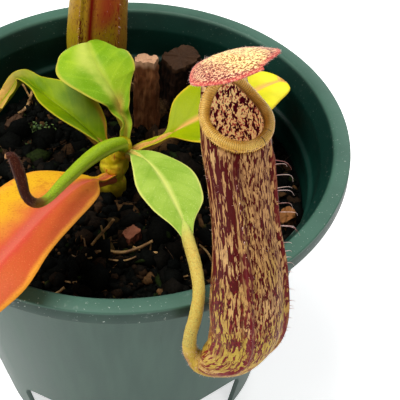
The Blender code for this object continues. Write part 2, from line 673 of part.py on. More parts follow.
def mouth_cutter(name, middle, slope, side, normal, along, cutters):
    """A block over the mouth's edge, its underside curled up at the back."""
    mesh = bpy.data.meshes.new(name)
    bm = bmesh.new()
    bmesh.ops.create_grid(bm, x_segments=14, y_segments=2, size=2.0 * along)
    for vert in bm.verts:
        down, out = vert.co.x, vert.co.y
        lift = mouth_lift(down, along)
        vert.co = middle + slope * down + side * out + normal * lift
    raised = bmesh.ops.extrude_face_region(bm, geom=bm.faces[:])["geom"]
    top = [item for item in raised if isinstance(item, bmesh.types.BMVert)]
    bmesh.ops.translate(bm, vec=normal * CUTTER_DEEP, verts=top)
    bmesh.ops.recalc_face_normals(bm, faces=bm.faces)
    bm.to_mesh(mesh)
    bm.free()
    return as_cutter(add_object(name, mesh, cutters))


def build_pitcher(name, rows, front, hairs, coll, cutters, mats):
    """The trap: hollow body with two fringed fins, rolled collar and lid."""
    front = math.radians(front)
    last = len(rows) - 1
    middle, slope, side, normal = mouth_frame(rows, front)
    body = row_tube(name + "_body", rows, 0, last, 24, PITCHER_SIDES, coll)
    extras = []
    for mark in (-1, 1):
        route = fin_route(rows, front, mark, last - FIN_DEPTH, last - 1.0, 16)
        tag = "left" if mark < 0 else "right"
        stations = [(point, FIN_RADIUS) for point, _ in route]
        extras.append(tube("%s_fin_%s" % (name, tag), stations, 6, coll))
        fringe = fin_route(rows, front, mark, last - 4.3, last - 1.3, hairs)
        for k, (root, out) in enumerate(fringe):
            sway = slope * (0.35 * math.sin(2.3 * k + mark)) + UP * 0.25
            length = HAIR_LENGTH * (0.75 + 0.25 * math.cos(1.7 * k))
            label = "%s_hair_%s_%d" % (name, tag, k)
            extras.append(hair(label, root + out * FIN_RADIUS, out, sway, length, coll))
    fuse(body, extras)
    inside = []
    for place in spread(last - CAVITY_DEPTH, last, 14):
        row = blend_rows(rows, place)
        inside.append((Vector(row[:3]) * MM, row[3] * MM - PITCHER_WALL))
    inside.append((inside[-1][0] + heading_at(rows, last) * CAVITY_OVER, inside[-1][1]))
    cavity = tube(name + "_cavity", inside, PITCHER_SIDES, cutters)
    cut(body, as_cutter(cavity))
    across = blend_rows(rows, last - MOUTH_BACK)[3] * MM - RIM_INSET
    along = across / math.cos(MOUTH_TILT)
    cut(body, mouth_cutter(name + "_mouth", middle, slope, side, normal, along, cutters))
    smooth(keep_largest(body), mats["body"])

    ring = []
    for k in range(24):
        angle = 2 * math.pi * k / 24
        down = along * math.sin(angle)
        ring.append((middle + side * across * math.cos(angle) + slope * down
                     + normal * collar_lift(down, along), COLLAR_TUBE))
    smooth(tube(name + "_collar", ring, 8, coll, cyclic=True), mats["collar"])
    build_lid(name + "_lid", middle, slope, normal, along, front, coll, mats["lid"])


def build_lid(name, middle, slope, normal, along, front, coll, mat):
    """A domed oval lid on a short neck behind the mouth, with its spur."""
    turn = front + LID_TURN
    facing = Vector((math.sin(turn), -math.cos(turn), 0.0))
    heading = facing * math.cos(LID_RISE) + UP * math.sin(LID_RISE)
    level = heading.cross(UP).normalized()
    across = level * math.cos(LID_ROLL) - level.cross(heading) * math.sin(LID_ROLL)
    over = across.cross(heading).normalized()
    foot = middle - slope * along + normal * (collar_lift(-along, along) + COLLAR_TUBE + GAP)
    hinge = foot - facing * HINGE_BACK + UP * HINGE_RISE
    centre = (hinge + heading * (LID_LONG - LID_BACK) + across * LID_SHIFT
              + over * LID_DOME)
    mesh = bpy.data.meshes.new(name)
    bm = bmesh.new()
    bmesh.ops.create_grid(bm, x_segments=8, y_segments=8, size=1.0)
    for vert in bm.verts:
        u, v = vert.co.x, vert.co.y
        p = u * math.sqrt(1 - v * v / 2)
        q = v * math.sqrt(1 - u * u / 2)
        sag = LID_DOME * (p * p + q * q) + LID_SIDE * q * q
        vert.co = centre + heading * LID_LONG * p + across * LID_WIDE * q - over * sag
    bmesh.ops.recalc_face_normals(bm, faces=bm.faces)
    bmesh.ops.triangulate(bm, faces=bm.faces)
    bm.to_mesh(mesh)
    bm.free()
    lid = add_object(name, mesh, coll)
    body = lid.modifiers.new("thickness", 'SOLIDIFY')
    body.thickness = BLADE_THICK
    body.offset = 0.0
    bake(lid)
    neck = tube(name + "_neck", [(foot, 1.3 * MM), (foot + UP * 1.6 * MM, 1.1 * MM),
                                 (hinge + heading * 0.6 * MM, 1.0 * MM),
                                 (hinge + heading * 3.2 * MM, 0.6 * MM)], 8, coll)
    spur = tube(name + "_spur", [(foot + UP * 1.0 * MM, 0.6 * MM),
                                 (foot - facing * 1.6 * MM + across * 1.2 * MM
                                  + UP * 1.2 * MM, 0.5 * MM),
                                 (foot - facing * 2.8 * MM + across * 2.4 * MM
                                  + UP * 1.4 * MM, 0.3 * MM)], 6, coll)
    fuse(lid, [neck, spur])
    return smooth(keep_largest(lid), mat)


# ---- everything --------------------------------------------------------------
def main():
    clear_scene()
    coll = new_collection("potted_pitcher_plant")
    cutters = new_collection("cutters")
    build_pot(coll, cutters)
    pads = [(x * MM, y * MM, (0.62 * max(size[0], size[1]) + 2.0) * MM, PAD_LEVEL)
            for _, size, (x, y), _, _ in BARK]
    pads.append((-8.0 * MM, 34.5 * MM, 6.0 * MM, PAD_LEVEL))
    build_mix(coll, cutters, pads)
    build_bark(coll)
    build_straws(coll, pads)
    build_stem(coll)
    stem_room = as_cutter(row_tube("stem_room", STEM, 0, len(STEM) - 1, 19, 12, cutters,
                                   grow=GAP))
    young = finish("young_leaf", (0.30, 0.50, 0.06), 0.4)
    yellow = finish("yellow_leaf", (0.55, 0.55, 0.03), 0.4)
    old = finish("old_leaf", (0.75, 0.28, 0.05), 0.5)
    build_leaf("leaf_front", LEAF_FRONT, coll, stem_room, young, ribs=26)
    build_leaf("leaf_upper", LEAF_UPPER, coll, stem_room, young, ribs=24)
    build_leaf("leaf_left", LEAF_LEFT, coll, stem_room, young, ribs=24)
    build_leaf("leaf_right", LEAF_RIGHT, coll, stem_room, yellow, ribs=20)
    build_leaf("leaf_old", LEAF_OLD, coll, stem_room, old, ribs=22)
    shoot = row_tube("new_shoot", NEW_SHOOT, 0, len(NEW_SHOOT) - 1, 27, 10, coll)
    cut(shoot, stem_room)
    smooth(keep_largest(shoot), finish("shoot_green", (0.30, 0.42, 0.08), 0.4))
    mats = {
        "body": finish("pitcher_skin", (0.50, 0.30, 0.12), 0.35),
        "collar": finish("pitcher_collar", (0.60, 0.40, 0.10), 0.3),
        "lid": finish("pitcher_lid", (0.60, 0.28, 0.18), 0.45),
    }
    build_pitcher("pitcher_front", PITCHER_FRONT, 22.0, 8, coll, cutters, mats)
    build_pitcher("pitcher_back", PITCHER_BACK, -10.0, 6, coll, cutters, mats)
    shift = Matrix.Translation((POT_RIGHT, POT_BACK, 0.0))
    for obj in list(coll.objects) + list(cutters.objects):
        obj.matrix_world = shift @ obj.matrix_world


main()
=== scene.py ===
# %% [markdown]
# # A potted pitcher plant
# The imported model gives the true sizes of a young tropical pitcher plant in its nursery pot. This
# lesson dresses it: every solid gets a finer surface worked out with numpy, and every surface a
# material made of nodes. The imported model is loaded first, and nothing here may leave its box.

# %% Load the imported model
import math

import bmesh
import bpy
import numpy as np
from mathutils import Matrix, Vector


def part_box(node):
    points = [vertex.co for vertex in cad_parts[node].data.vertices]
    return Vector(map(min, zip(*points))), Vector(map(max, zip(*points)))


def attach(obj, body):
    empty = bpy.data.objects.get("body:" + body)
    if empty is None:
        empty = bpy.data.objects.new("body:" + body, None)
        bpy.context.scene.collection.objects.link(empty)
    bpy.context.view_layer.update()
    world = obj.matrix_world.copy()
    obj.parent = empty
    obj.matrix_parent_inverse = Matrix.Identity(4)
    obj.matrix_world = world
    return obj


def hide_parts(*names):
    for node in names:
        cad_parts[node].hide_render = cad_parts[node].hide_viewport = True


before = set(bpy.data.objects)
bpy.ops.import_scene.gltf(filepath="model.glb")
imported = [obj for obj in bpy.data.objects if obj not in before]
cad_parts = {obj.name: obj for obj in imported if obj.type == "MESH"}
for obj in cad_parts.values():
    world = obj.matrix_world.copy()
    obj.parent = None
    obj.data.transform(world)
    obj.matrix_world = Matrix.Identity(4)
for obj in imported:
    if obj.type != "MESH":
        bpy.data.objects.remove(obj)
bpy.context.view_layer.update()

MM = 0.001
POT_BACK = 8.2                 # mm from the middle of the footprint back to the pot's axis
print("packed nodes:", len(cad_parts))

# %% [markdown]
# ## Camera and light
# The plant is looked down on from the front, from about a quarter of a metre, so the pot's rim
# opens into a wide oval. A long lens keeps it from looking stretched. Three broad lamps and a
# pale sky give the soft light of a room with white walls.

# %% Camera
EYE = (0.0, -0.16175, 0.23856)
LOOK = (0.08118, 0.68893, -0.72027)
RIGHT = (0.99600, -0.08306, 0.03282)
LENS = 80.95


def aim_matrix(eye, look, right):
    """Columns are the camera's right, its up and the reverse of its look, then its place."""
    look = np.array(look) / np.linalg.norm(look)
    right = np.array(right) - look * np.dot(right, look)
    right /= np.linalg.norm(right)
    turned = np.eye(4)
    turned[:3, 0], turned[:3, 1], turned[:3, 2] = right, np.cross(right, look), -look
    turned[:3, 3] = eye
    return turned


camera_data = bpy.data.cameras.new("camera")
camera_data.lens = LENS
camera_data.sensor_width = 36.0
camera_data.clip_start = 0.005
camera = bpy.data.objects.new("camera", camera_data)
camera.matrix_world = aim_matrix(EYE, LOOK, RIGHT).T.tolist()
bpy.context.scene.collection.objects.link(camera)
bpy.context.scene.camera = camera
bpy.context.scene.view_settings.view_transform = "Standard"

# %% Lamps and sky
LAMPS = [                      # name, place, size, power in watts, colour
    ("lamp_over", (-0.25, 0.05, 0.75), 0.50, 7.0, (1.0, 0.985, 0.96)),
    ("lamp_front", (0.30, -0.60, 0.45), 0.40, 0.9, (1.0, 0.97, 0.93)),
    ("lamp_back", (0.35, 0.55, 0.40), 0.35, 1.3, (0.95, 0.98, 1.0)),
]
for name, place, size, power, colour in LAMPS:
    lamp = bpy.data.lights.new(name, "AREA")
    lamp.size, lamp.energy, lamp.color = size, power, colour
    holder = bpy.data.objects.new(name, lamp)
    down = np.array((0.0, 0.0, 0.08)) - np.array(place)
    side = np.cross(down, (0.0, 0.0, 1.0))
    holder.matrix_world = aim_matrix(place, down, side).T.tolist()
    bpy.context.scene.collection.objects.link(holder)

world = bpy.data.worlds.new("sky")
world.use_nodes = True
world.node_tree.nodes["Background"].inputs["Color"].default_value = (0.93, 0.95, 1.0, 1.0)
world.node_tree.nodes["Background"].inputs["Strength"].default_value = 0.20
bpy.context.scene.world = world
print("lamps:", len(LAMPS))

# %% [markdown]
# ## Paint made of nodes
# A material is a small calculation that Blender repeats at every point. Written as node links it
# is hard to read, so a wire, which is one output of a node, learns to add and multiply here. An
# expression such as `1 - mask * 0.5` then adds its Math nodes by itself. Every other node
# comes from the one method `Finish.node`, which takes settings first and then what is fed in.


# %% Wires and finishes
def tint(red, green, blue):
    """A colour given as screen values from 0 to 255, made linear for the shader."""
    share = np.array((red, green, blue)) / 255.0
    linear = np.where(share <= 0.04045, share / 12.92, ((share + 0.055) / 1.055) ** 2.4)
    return (*linear.tolist(), 1.0)


class Wire:
    """One output of a node. Sums and products of wires add Math nodes."""

    def __init__(self, finish, socket):
        self.finish, self.socket = finish, socket

    def math(self, operation, *values, clamp=False):
        return self.finish.node("ShaderNodeMath",
                                {"operation": operation, "use_clamp": clamp}, *values)

    def __add__(self, other): return self.math("ADD", self, other)
    def __sub__(self, other): return self.math("SUBTRACT", self, other)
    def __mul__(self, other): return self.math("MULTIPLY", self, other)
    def __rsub__(self, other): return self.math("SUBTRACT", other, self)
    __radd__, __rmul__ = __add__, __mul__

    def size(self): return self.math("ABSOLUTE", self)
    def wave(self): return self.math("SINE", self)
    def clip(self): return self.math("ADD", self, 0.0, clamp=True)

    def rise(self, low, high):
        """Runs smoothly from 0 at low to 1 at high, or back where low is the larger."""
        return self.finish.node("ShaderNodeMapRange", {"interpolation_type": "SMOOTHSTEP"},
                                self, low, high)

    def ridge(self, centre, half):
        """1 at the centre, falling smoothly to 0 at half on either side."""
        return (self - centre).size().rise(half, 0.0)


class Finish:
    """A material on one Principled shader, with short ways to add nodes."""

    def __init__(self, name, roughness=0.5, **fixed):
        self.material = bpy.data.materials.new(name)
        self.material.use_nodes = True
        self.tree = self.material.node_tree
        self.shader = self.tree.nodes["Principled BSDF"]
        self.shader.inputs["Roughness"].default_value = roughness
        for socket, value in fixed.items():
            self.shader.inputs[socket.replace("_", " ")].default_value = value
        self.place = self.node("ShaderNodeTexCoord", {"output": "Object"})

    def node(self, kind, settings, *values, **named):
        """Adds a node: settings first, then values or wires by place or by socket name."""
        made = self.tree.nodes.new(kind)
        output = settings.pop("output", None)
        for key, value in settings.items():
            if key == "stops":
                while len(made.color_ramp.elements) < len(value):
                    made.color_ramp.elements.new(1.0)
                for stop, (at, colour) in zip(made.color_ramp.elements, value):
                    stop.position, stop.color = at, colour
            else:
                setattr(made, key, value)
        feeds = list(enumerate(values))
        feeds += [(key.replace("_", " "), value) for key, value in named.items()]
        for key, value in feeds:
            if isinstance(value, Wire):
                self.tree.links.new(value.socket, made.inputs[key])
            else:
                made.inputs[key].default_value = value
        shown = [socket for socket in made.outputs if socket.enabled]
        return Wire(self, made.outputs[output] if output else shown[0])

    def noise(self, where, scale, detail=2.0, rough=0.5, warp=0.0):
        """Soft cloudy noise near 0.5; one lump is about 1 / scale across."""
        return self.node("ShaderNodeTexNoise", {}, Vector=where, Scale=scale, Detail=detail,
                         Roughness=rough, Distortion=warp)

    def stretch(self, where, x, y, z):
        """Scales a position along each axis, so that a pattern on it draws out."""
        return self.node("ShaderNodeVectorMath", {"operation": "MULTIPLY"}, where, (x, y, z))

    def mark(self, name, part):
        """One number, part 0, 1 or 2, of the marks stored on a piece's points."""
        told = self.node("ShaderNodeAttribute", {"attribute_name": name, "output": "Vector"})
        return self.node("ShaderNodeSeparateXYZ", {"output": "XYZ"[part]}, told)

    def flow(self):
        """The position that follows the surface, in millimetres."""
        return self.node("ShaderNodeAttribute", {"attribute_name": "flow", "output": "Vector"})

    def mix(self, under, over, share):
        """The colour over laid on the colour under, by share."""
        made = self.tree.nodes.new("ShaderNodeMix")
        made.data_type = "RGBA"
        for slot, value in ((0, share), (6, under), (7, over)):
            if isinstance(value, Wire):
                self.tree.links.new(value.socket, made.inputs[slot])
            else:
                made.inputs[slot].default_value = value
        return Wire(self, made.outputs[2])

    def wear(self, colour=None, roughness=None, height=None, depth=0.1):
        """Feeds colour, roughness and a bump height, which is depth millimetres tall."""
        for socket, wire in (("Base Color", colour), ("Roughness", roughness)):
            if isinstance(wire, Wire):
                self.tree.links.new(wire.socket, self.shader.inputs[socket])
            elif wire is not None:
                self.shader.inputs[socket].default_value = wire
        if height is not None:
            bump = self.node("ShaderNodeBump", {"output": "Normal"}, Height=height,
                             Distance=depth * MM, Strength=1.0)
            self.tree.links.new(bump.socket, self.shader.inputs["Normal"])


# %% [markdown]
# ## Surfaces as arrays
# A leaf, a pitcher or a pot is a surface that two numbers run over: how far along it, and how far
# round it. numpy works out all of its points at once. A closed skin has rows of rings, and a
# point at each end closes it. Its signed volume tells which way its faces point, so none is left
# inside out. Marks are stored with the points, so that paint can follow the shape.


# %% A shape built from closed skins
def unit(vectors):
    """Vectors divided by their own lengths."""
    return vectors / np.maximum(np.linalg.norm(vectors, axis=-1, keepdims=True), 1e-12)


def turns(count):
    """Angles once round in even steps, as a row."""
    return np.linspace(0.0, 2 * np.pi, count, endpoint=False)[None, :]


def spread(*parts):
    """The parts side by side on a last axis, each stretched to the shape of them all."""
    return np.stack(np.broadcast_arrays(*parts), -1)


def bell(offset):
    """1 where the offset is 0, and nearly 0 where it is 2 or more."""
    return np.exp(-offset ** 2)


class Shape:
    """Closed skins gathered as arrays, to become one mesh."""

    def __init__(self):
        self.points, self.faces, self.marks, self.flow, self.total = [], [], [], [], 0

    def add(self, points, faces, marks, flow=None):
        """Takes points (n, 3), lists of faces and marks; faces are turned to point outwards."""
        points = np.asarray(points, float).reshape(-1, 3)
        signed = 0.0
        for block in faces:
            corners = points[block]
            for k in range(1, block.shape[1] - 1):
                signed += np.einsum("ij,ij->", corners[:, 0],
                                    np.cross(corners[:, k], corners[:, k + 1]))
        for block in faces:
            self.faces.append((block[:, ::-1] if signed < 0 else block) + self.total)
        marks = np.broadcast_to(np.asarray(marks, float), (len(points), 3))
        self.points.append(points)
        self.marks.append(marks)
        self.flow.append(points / MM if flow is None else np.asarray(flow, float).reshape(-1, 3))
        self.total += len(points)

    def rings(self, points, marks, flow=None):
        """A skin of rings (rows, columns, 3), closed round, and by a point at each end."""
        rows, cols = points.shape[:2]
        i, j = np.arange(rows - 1)[:, None], np.arange(cols)[None, :]
        k = (j + 1) % cols
        quads = np.stack([i * cols + j, i * cols + k, (i + 1) * cols + k,
                          (i + 1) * cols + j], -1).reshape(-1, 4)
        ends, j = rows * cols, np.arange(cols)
        first = np.stack([np.full(cols, ends), (j + 1) % cols, j], -1)
        low = (rows - 1) * cols
        last = np.stack([np.full(cols, ends + 1), low + j, low + (j + 1) % cols], -1)

        def closed(values):
            values = np.asarray(values, float)
            values = np.broadcast_to(values, (rows, cols, 3))
            return np.vstack([values.reshape(-1, 3), values[0].mean(0), values[-1].mean(0)])

        self.add(closed(points), [quads, first, last], closed(marks),
                 None if flow is None else closed(flow))

    def loop(self, points, marks):
        """A skin like a ring doughnut: (rows, columns, 3), closed both ways."""
        rows, cols = points.shape[:2]
        i, j = np.arange(rows)[:, None], np.arange(cols)[None, :]
        n, k = (i + 1) % rows, (j + 1) % cols
        quads = np.stack([i * cols + j, i * cols + k, n * cols + k, n * cols + j],
                         -1).reshape(-1, 4)
        marks = np.broadcast_to(np.asarray(marks, float), points.shape).reshape(-1, 3)
        self.add(points, [quads], marks)

    def build(self, name, finish, slot, *nodes, crease=None):
        """One smooth mesh object with its marks, riding on the pot's body."""
        points, faces = np.vstack(self.points), self.faces
        mesh = bpy.data.meshes.new(name)
        mesh.vertices.add(len(points))
        mesh.vertices.foreach_set("co", points.astype(np.float32).ravel())
        corners = np.concatenate([block.ravel() for block in faces]).astype(np.int32)
        counts = np.concatenate([np.full(len(block), block.shape[1]) for block in faces])
        starts = np.concatenate([[0], np.cumsum(counts)[:-1]]).astype(np.int32)
        mesh.loops.add(len(corners))
        mesh.loops.foreach_set("vertex_index", corners)
        mesh.polygons.add(len(counts))
        mesh.polygons.foreach_set("loop_start", starts)
        mesh.update(calc_edges=True)
        mesh.validate()
        for label, values in (("marks", self.marks), ("flow", self.flow)):
            stored = mesh.attributes.new(label, "FLOAT_VECTOR", "POINT")
            stored.data.foreach_set("vector", np.vstack(values).astype(np.float32).ravel())
        mesh.shade_smooth()
        if crease is not None:
            mesh.set_sharp_from_angle(angle=math.radians(crease))
        mesh.materials.append(finish)
        piece = bpy.data.objects.new(name, mesh)
        bpy.context.scene.collection.objects.link(piece)
        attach(piece, "root")
        if nodes:
            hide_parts(*nodes)
        print("%-22s %7d points %7d faces" % (name, len(points), len(counts)))
        return piece


# %% [markdown]
# ## Routes, tubes and hairs
# A stem, a tendril or a pitcher follows a route: a table with a row for each station. A smooth
# curve through the rows (Catmull-Rom) gives the points between. Hairs are made hundreds at a
# time: each is a slim three-sided spike that bends along a curve.


# %% Route helpers
def between(rows, places):
    """Catmull-Rom blend of table rows at fractional row numbers, for a whole array."""
    rows = np.asarray(rows, float)
    last = len(rows) - 1
    places = np.clip(np.asarray(places, float), 0.0, last)
    i = np.minimum(places.astype(int), last - 1)
    t = (places - i)[..., None]
    a, b, c, d = (rows[np.clip(i + k, 0, last)] for k in (-1, 0, 1, 2))
    return 0.5 * (2 * b + (c - a) * t + (2 * a - 5 * b + 4 * c - d) * t ** 2
                  + (3 * b - a - 3 * c + d) * t ** 3)


def centres(rows, places):
    """Points of a route in metres, in the plant's frame."""
    return (between(rows, places)[..., :3] + (0.0, POT_BACK, 0.0)) * MM


def headings(rows, places):
    """Unit directions of travel along a route."""
    step = 0.02
    places = np.asarray(places, float)
    return unit(centres(rows, places + step) - centres(rows, places - step))


def lengths(points):
    """Distance in mm along a line of points, from its start."""
    steps = np.linalg.norm(np.diff(points, axis=0), axis=1)
    return np.concatenate([[0.0], np.cumsum(steps)]) / MM


def crossways(ahead, hint):
    """Two unit directions across each heading, the first nearest to the hint."""
    hint = np.broadcast_to(np.asarray(hint, float), ahead.shape)
    first = unit(hint - ahead * np.sum(hint * ahead, -1, keepdims=True))
    return first, np.cross(ahead, first)


ASKEW = (0.36, 0.48, 0.8)      # a direction that hardly any route runs along


def round_tube(points, radii, sides, hint=ASKEW):
    """Rings of a round tube: centre + radius * (cos a * first + sin a * second)."""
    ahead = unit(np.gradient(points, axis=0))
    first, second = crossways(ahead, hint)
    angle = turns(sides)[..., None]
    radii = np.asarray(radii, float)
    radii = np.broadcast_to(radii[:, None] if radii.ndim == 1 else radii,
                            (len(points), sides))[:, :, None]
    return points[:, None] + radii * (np.cos(angle) * first[:, None]
                                      + np.sin(angle) * second[:, None])


def hairs(shape, roots, aims, bends, lengths_mm, thick_mm, steps=5, marks=(0.0, 0.0, 0.0),
          hook=2):
    """Spikes: root + aim * s + bend * s ** hook, slimming to a point, three-sided."""
    roots, aims, bends = (np.asarray(v, float).reshape(-1, 3) for v in (roots, aims, bends))
    count = len(roots)
    s = np.linspace(0.0, 1.0, steps)[None, :, None]
    reach = (np.broadcast_to(lengths_mm, (count,)) * MM)[:, None, None]
    line = roots[:, None] + reach * (unit(aims)[:, None] * s + bends[:, None] * s ** hook)
    ahead = unit(np.gradient(line, axis=1))
    first, second = crossways(ahead, ASKEW)
    slim = (np.broadcast_to(thick_mm, (count,)) * MM)[:, None, None, None]
    slim = slim * (1.0 - 0.85 * s[..., None])
    turn = (np.arange(3) * 2 * np.pi / 3)[None, None, :, None]
    rings = line[:, :, None] + slim * (np.cos(turn) * first[:, :, None]
                                       + np.sin(turn) * second[:, :, None])
    tips = line[:, -1:, None] + (line[:, -1:, None] - line[:, -2:-1, None]) * 0.3
    points = np.concatenate([rings.reshape(count, -1, 3), tips.reshape(count, 1, 3)], 1)
    each = steps * 3 + 1
    base = (np.arange(count) * each)[:, None, None]
    i, j = np.arange(steps - 1)[:, None], np.arange(3)[None, :]
    k = (j + 1) % 3
    quads = np.stack([i * 3 + j, i * 3 + k, (i + 1) * 3 + k, (i + 1) * 3 + j], -1)
    low = (steps - 1) * 3
    ends = np.array([[0, 2, 1]] + [[low + n, low + (n + 1) % 3, each - 1] for n in range(3)])
    shape.add(points, [(quads.reshape(1, -1, 4) + base).reshape(-1, 4),
                       (ends[None] + base).reshape(-1, 3)], marks)


def waviness(points, size_mm, seed, waves=18):
    """A sum of crossed sine waves about size_mm long, between about -1 and 1."""
    draw = np.random.default_rng(seed)
    aims = unit(draw.normal(size=(waves, 3))) * 2 * np.pi / size_mm
    aims *= draw.uniform(0.6, 1.7, (waves, 1))
    phase = draw.uniform(0.0, 2 * np.pi, waves)
    return np.sin(points / MM @ aims.T + phase).sum(-1) / math.sqrt(waves)


# %% [markdown]
# ## The pot
# The pot is one thin moulded shell, so its section is drawn once as radius and height, from the
# middle of the floor up the inside, over the lip and down the outside. Turning it gives the skin.
# Six arches part the feet: inside an arch the skirt's lower edge is simply lifted, which
# keeps the shell closed without any cutting. Only the drain holes are cut.

# %% Pot: sizes and section
LIP_TOP, LIP_RADIUS, LIP_FACE, LIP_DROP = 87.2, 57.0, 4.1, 3.8
COLLAR_RADIUS, COLLAR_FOOT, CONE_TOP, GROUND_RADIUS, WALL = 51.8, 79.2, 50.8, 40.2, 1.4
BEAD_HEIGHT, BEAD_RADIUS, BEAD_TAPER = 73.2, 47.8, 4.0
FLOOR_TOP, FLOOR_THICK = 26.0, 1.6
ARCH_WIDTH, ARCH_SPRING, ARCH_CROWN = 22.6, 15.0, 8.0
DRAIN_RADIUS, DRAIN_CIRCLE = 3.5, 26.0
FEET = 6                       # as many arches and drain holes as feet
FOOT_TURN = 360.0 / FEET       # degrees from one to the next
POT_CREASE = 32.0              # degrees: a sharper edge of the pot is shaded as an edge
SKIRT_ROW = 23.6               # a row of the skin just above the arches


def cone(height):
    """Radius outside the tapered wall: a straight line from the ground to the step."""
    return GROUND_RADIUS + (CONE_TOP - GROUND_RADIUS) * height / COLLAR_FOOT


def rounded(section, reach, steps=4):
    """Each corner becomes a short parabola that starts and ends reach from it."""
    section = np.array(section)
    before, corner, after = section[:-2], section[1:-1], section[2:]
    span_in = np.linalg.norm(before - corner, axis=1, keepdims=True)
    span_out = np.linalg.norm(after - corner, axis=1, keepdims=True)
    start = corner + (before - corner) / span_in * np.minimum(reach, 0.4 * span_in)
    stop = corner + (after - corner) / span_out * np.minimum(reach, 0.4 * span_out)
    t = np.linspace(0.0, 1.0, steps)[None, :, None]
    arc = ((1 - t) ** 2 * start[:, None] + 2 * t * (1 - t) * corner[:, None]
           + t ** 2 * stop[:, None])
    return np.vstack([section[:1], arc.reshape(-1, 2), section[-1:]])


def divided(section, longest):
    """Adds points along the section's long straight stretches."""
    pieces = []
    for start, stop in zip(section[:-1], section[1:]):
        count = max(1, int(np.ceil(np.linalg.norm(stop - start) / longest)))
        pieces.append(start + (stop - start) * (np.arange(count) / count)[:, None])
    return np.vstack(pieces + [section[-1:]])


lip_low = LIP_TOP - LIP_DROP
lip_inner = LIP_RADIUS - LIP_FACE
upper_section = divided(rounded([
    (0.0, FLOOR_TOP),
    (cone(FLOOR_TOP) - WALL, FLOOR_TOP),
    (BEAD_RADIUS, BEAD_HEIGHT - BEAD_TAPER),
    (BEAD_RADIUS, BEAD_HEIGHT),
    (BEAD_RADIUS + 1.3, BEAD_HEIGHT + 0.8),
    (COLLAR_RADIUS - WALL - 0.4, lip_low - 1.0),
    (lip_inner - 0.6, LIP_TOP - 1.0),
    (lip_inner + 0.3, LIP_TOP),
    (LIP_RADIUS - 0.1, LIP_TOP),
    (LIP_RADIUS + 0.1, lip_low),
    (COLLAR_RADIUS + 0.2, lip_low - 0.2),
    (COLLAR_RADIUS, lip_low - 0.8),
    (CONE_TOP + 0.8, COLLAR_FOOT + 0.3),
    (CONE_TOP, COLLAR_FOOT - 0.5),
    (cone(SKIRT_ROW), SKIRT_ROW),
], 0.45), 3.0)
under_radius = cone(FLOOR_TOP) - WALL - 0.4
skirt_outer = [(cone(ARCH_SPRING), ARCH_SPRING), (GROUND_RADIUS - 0.15, 0.0)]
skirt_inner = [(GROUND_RADIUS - WALL, 0.0), (cone(ARCH_SPRING) - WALL, ARCH_SPRING),
               (cone(SKIRT_ROW) - WALL, SKIRT_ROW)]
under_floor = [(under_radius, FLOOR_TOP - FLOOR_THICK), (20.0, FLOOR_TOP - FLOOR_THICK),
               (0.0, FLOOR_TOP - FLOOR_THICK)]
section = np.vstack([upper_section, skirt_outer, skirt_inner, under_floor])
print("pot section points:", len(section))

# %% Pot: columns round it, with the arches
arch_edge = math.degrees(math.asin(ARCH_WIDTH / 2 / cone(5.0)))
column_angle, column_edge = [], []
for k in range(FEET):
    inside = np.linspace(-arch_edge, arch_edge, 25)
    share = np.clip(np.abs(np.sin(np.radians(inside))) / math.sin(math.radians(arch_edge)), 0, 1)
    middle, following = FOOT_TURN * k, FOOT_TURN * (k + 1)
    column_angle += [middle + inside, np.linspace(middle + arch_edge, following - arch_edge, 23)]
    column_edge += [ARCH_SPRING + ARCH_CROWN * np.sqrt(1.0 - share ** 2), np.zeros(23)]
angle = np.radians(np.concatenate(column_angle))[None, :]
lifted = np.concatenate(column_edge)[None, :]

is_skirt = np.zeros(len(section), bool)
is_skirt[len(upper_section):len(section) - len(under_floor)] = True
is_outer = np.arange(len(section)) < len(upper_section) + len(skirt_outer)
height = np.where(is_skirt[:, None], np.maximum(section[:, 1:], lifted), section[:, 1:])
on_wall = np.where(is_outer[:, None], cone(height), cone(height) - WALL)
radius = np.where(is_skirt[:, None] & (height > section[:, 1:]), on_wall, section[:, :1])
pot_points = spread(radius * np.cos(angle), radius * np.sin(angle) + POT_BACK, height)
outside = (np.arange(len(section)) > np.argmax(section[:, 1] >= LIP_TOP - 0.01)) & is_outer
pot_marks = spread(angle, height, outside[:, None])
print("pot columns:", angle.size)

# %% [markdown]
# ### Green plastic
# Nursery pots are moulded in dark green polypropylene. It is never quite black or quite clean:
# the outside is greyed by handling and by lime from the water, faint vertical draw marks run down
# it, and pale dust has dried on the lip. Small noises in different sizes make each of these. The
# outside's grey is also a painted sheen, and the rim's top face gets a painted highlight.

# %% Green plastic
plastic = Finish("green_plastic", 0.42, Specular_IOR_Level=0.22)
where = plastic.place
side_mark, height_mark = plastic.mark("marks", 2), plastic.mark("marks", 1)
draw_marks = plastic.noise(plastic.stretch(where, 260.0, 260.0, 9.0), 1.0, 3.0)
cloud = plastic.noise(where, 55.0, 3.0)
specks = plastic.noise(where, 1500.0, 2.0, 0.7)
lime = plastic.noise(plastic.stretch(where, 130.0, 130.0, 260.0), 1.0, 4.0, 0.7)
green = plastic.mix(tint(3, 35, 28), tint(8, 47, 38), cloud.rise(0.35, 0.65))
# the outside's grey: handling and lime, and also a painted sheen that lightens the outer wall
greyed_and_sheen = plastic.mix(tint(44, 73, 62), tint(62, 88, 76), draw_marks.rise(0.30, 0.75))
lip_mark = height_mark.rise(80.5, 82.5)
grey_and_sheen_share = side_mark * (0.86 - lip_mark * 0.34)
skin = plastic.mix(green, greyed_and_sheen, grey_and_sheen_share)
# the rim's top face painted paler: a painted highlight on the face turned up to the lamps
rim_top_highlight = height_mark.rise(86.3, 87.0)
skin = plastic.mix(skin, tint(80, 118, 101), rim_top_highlight * (0.35 + cloud * 0.5))
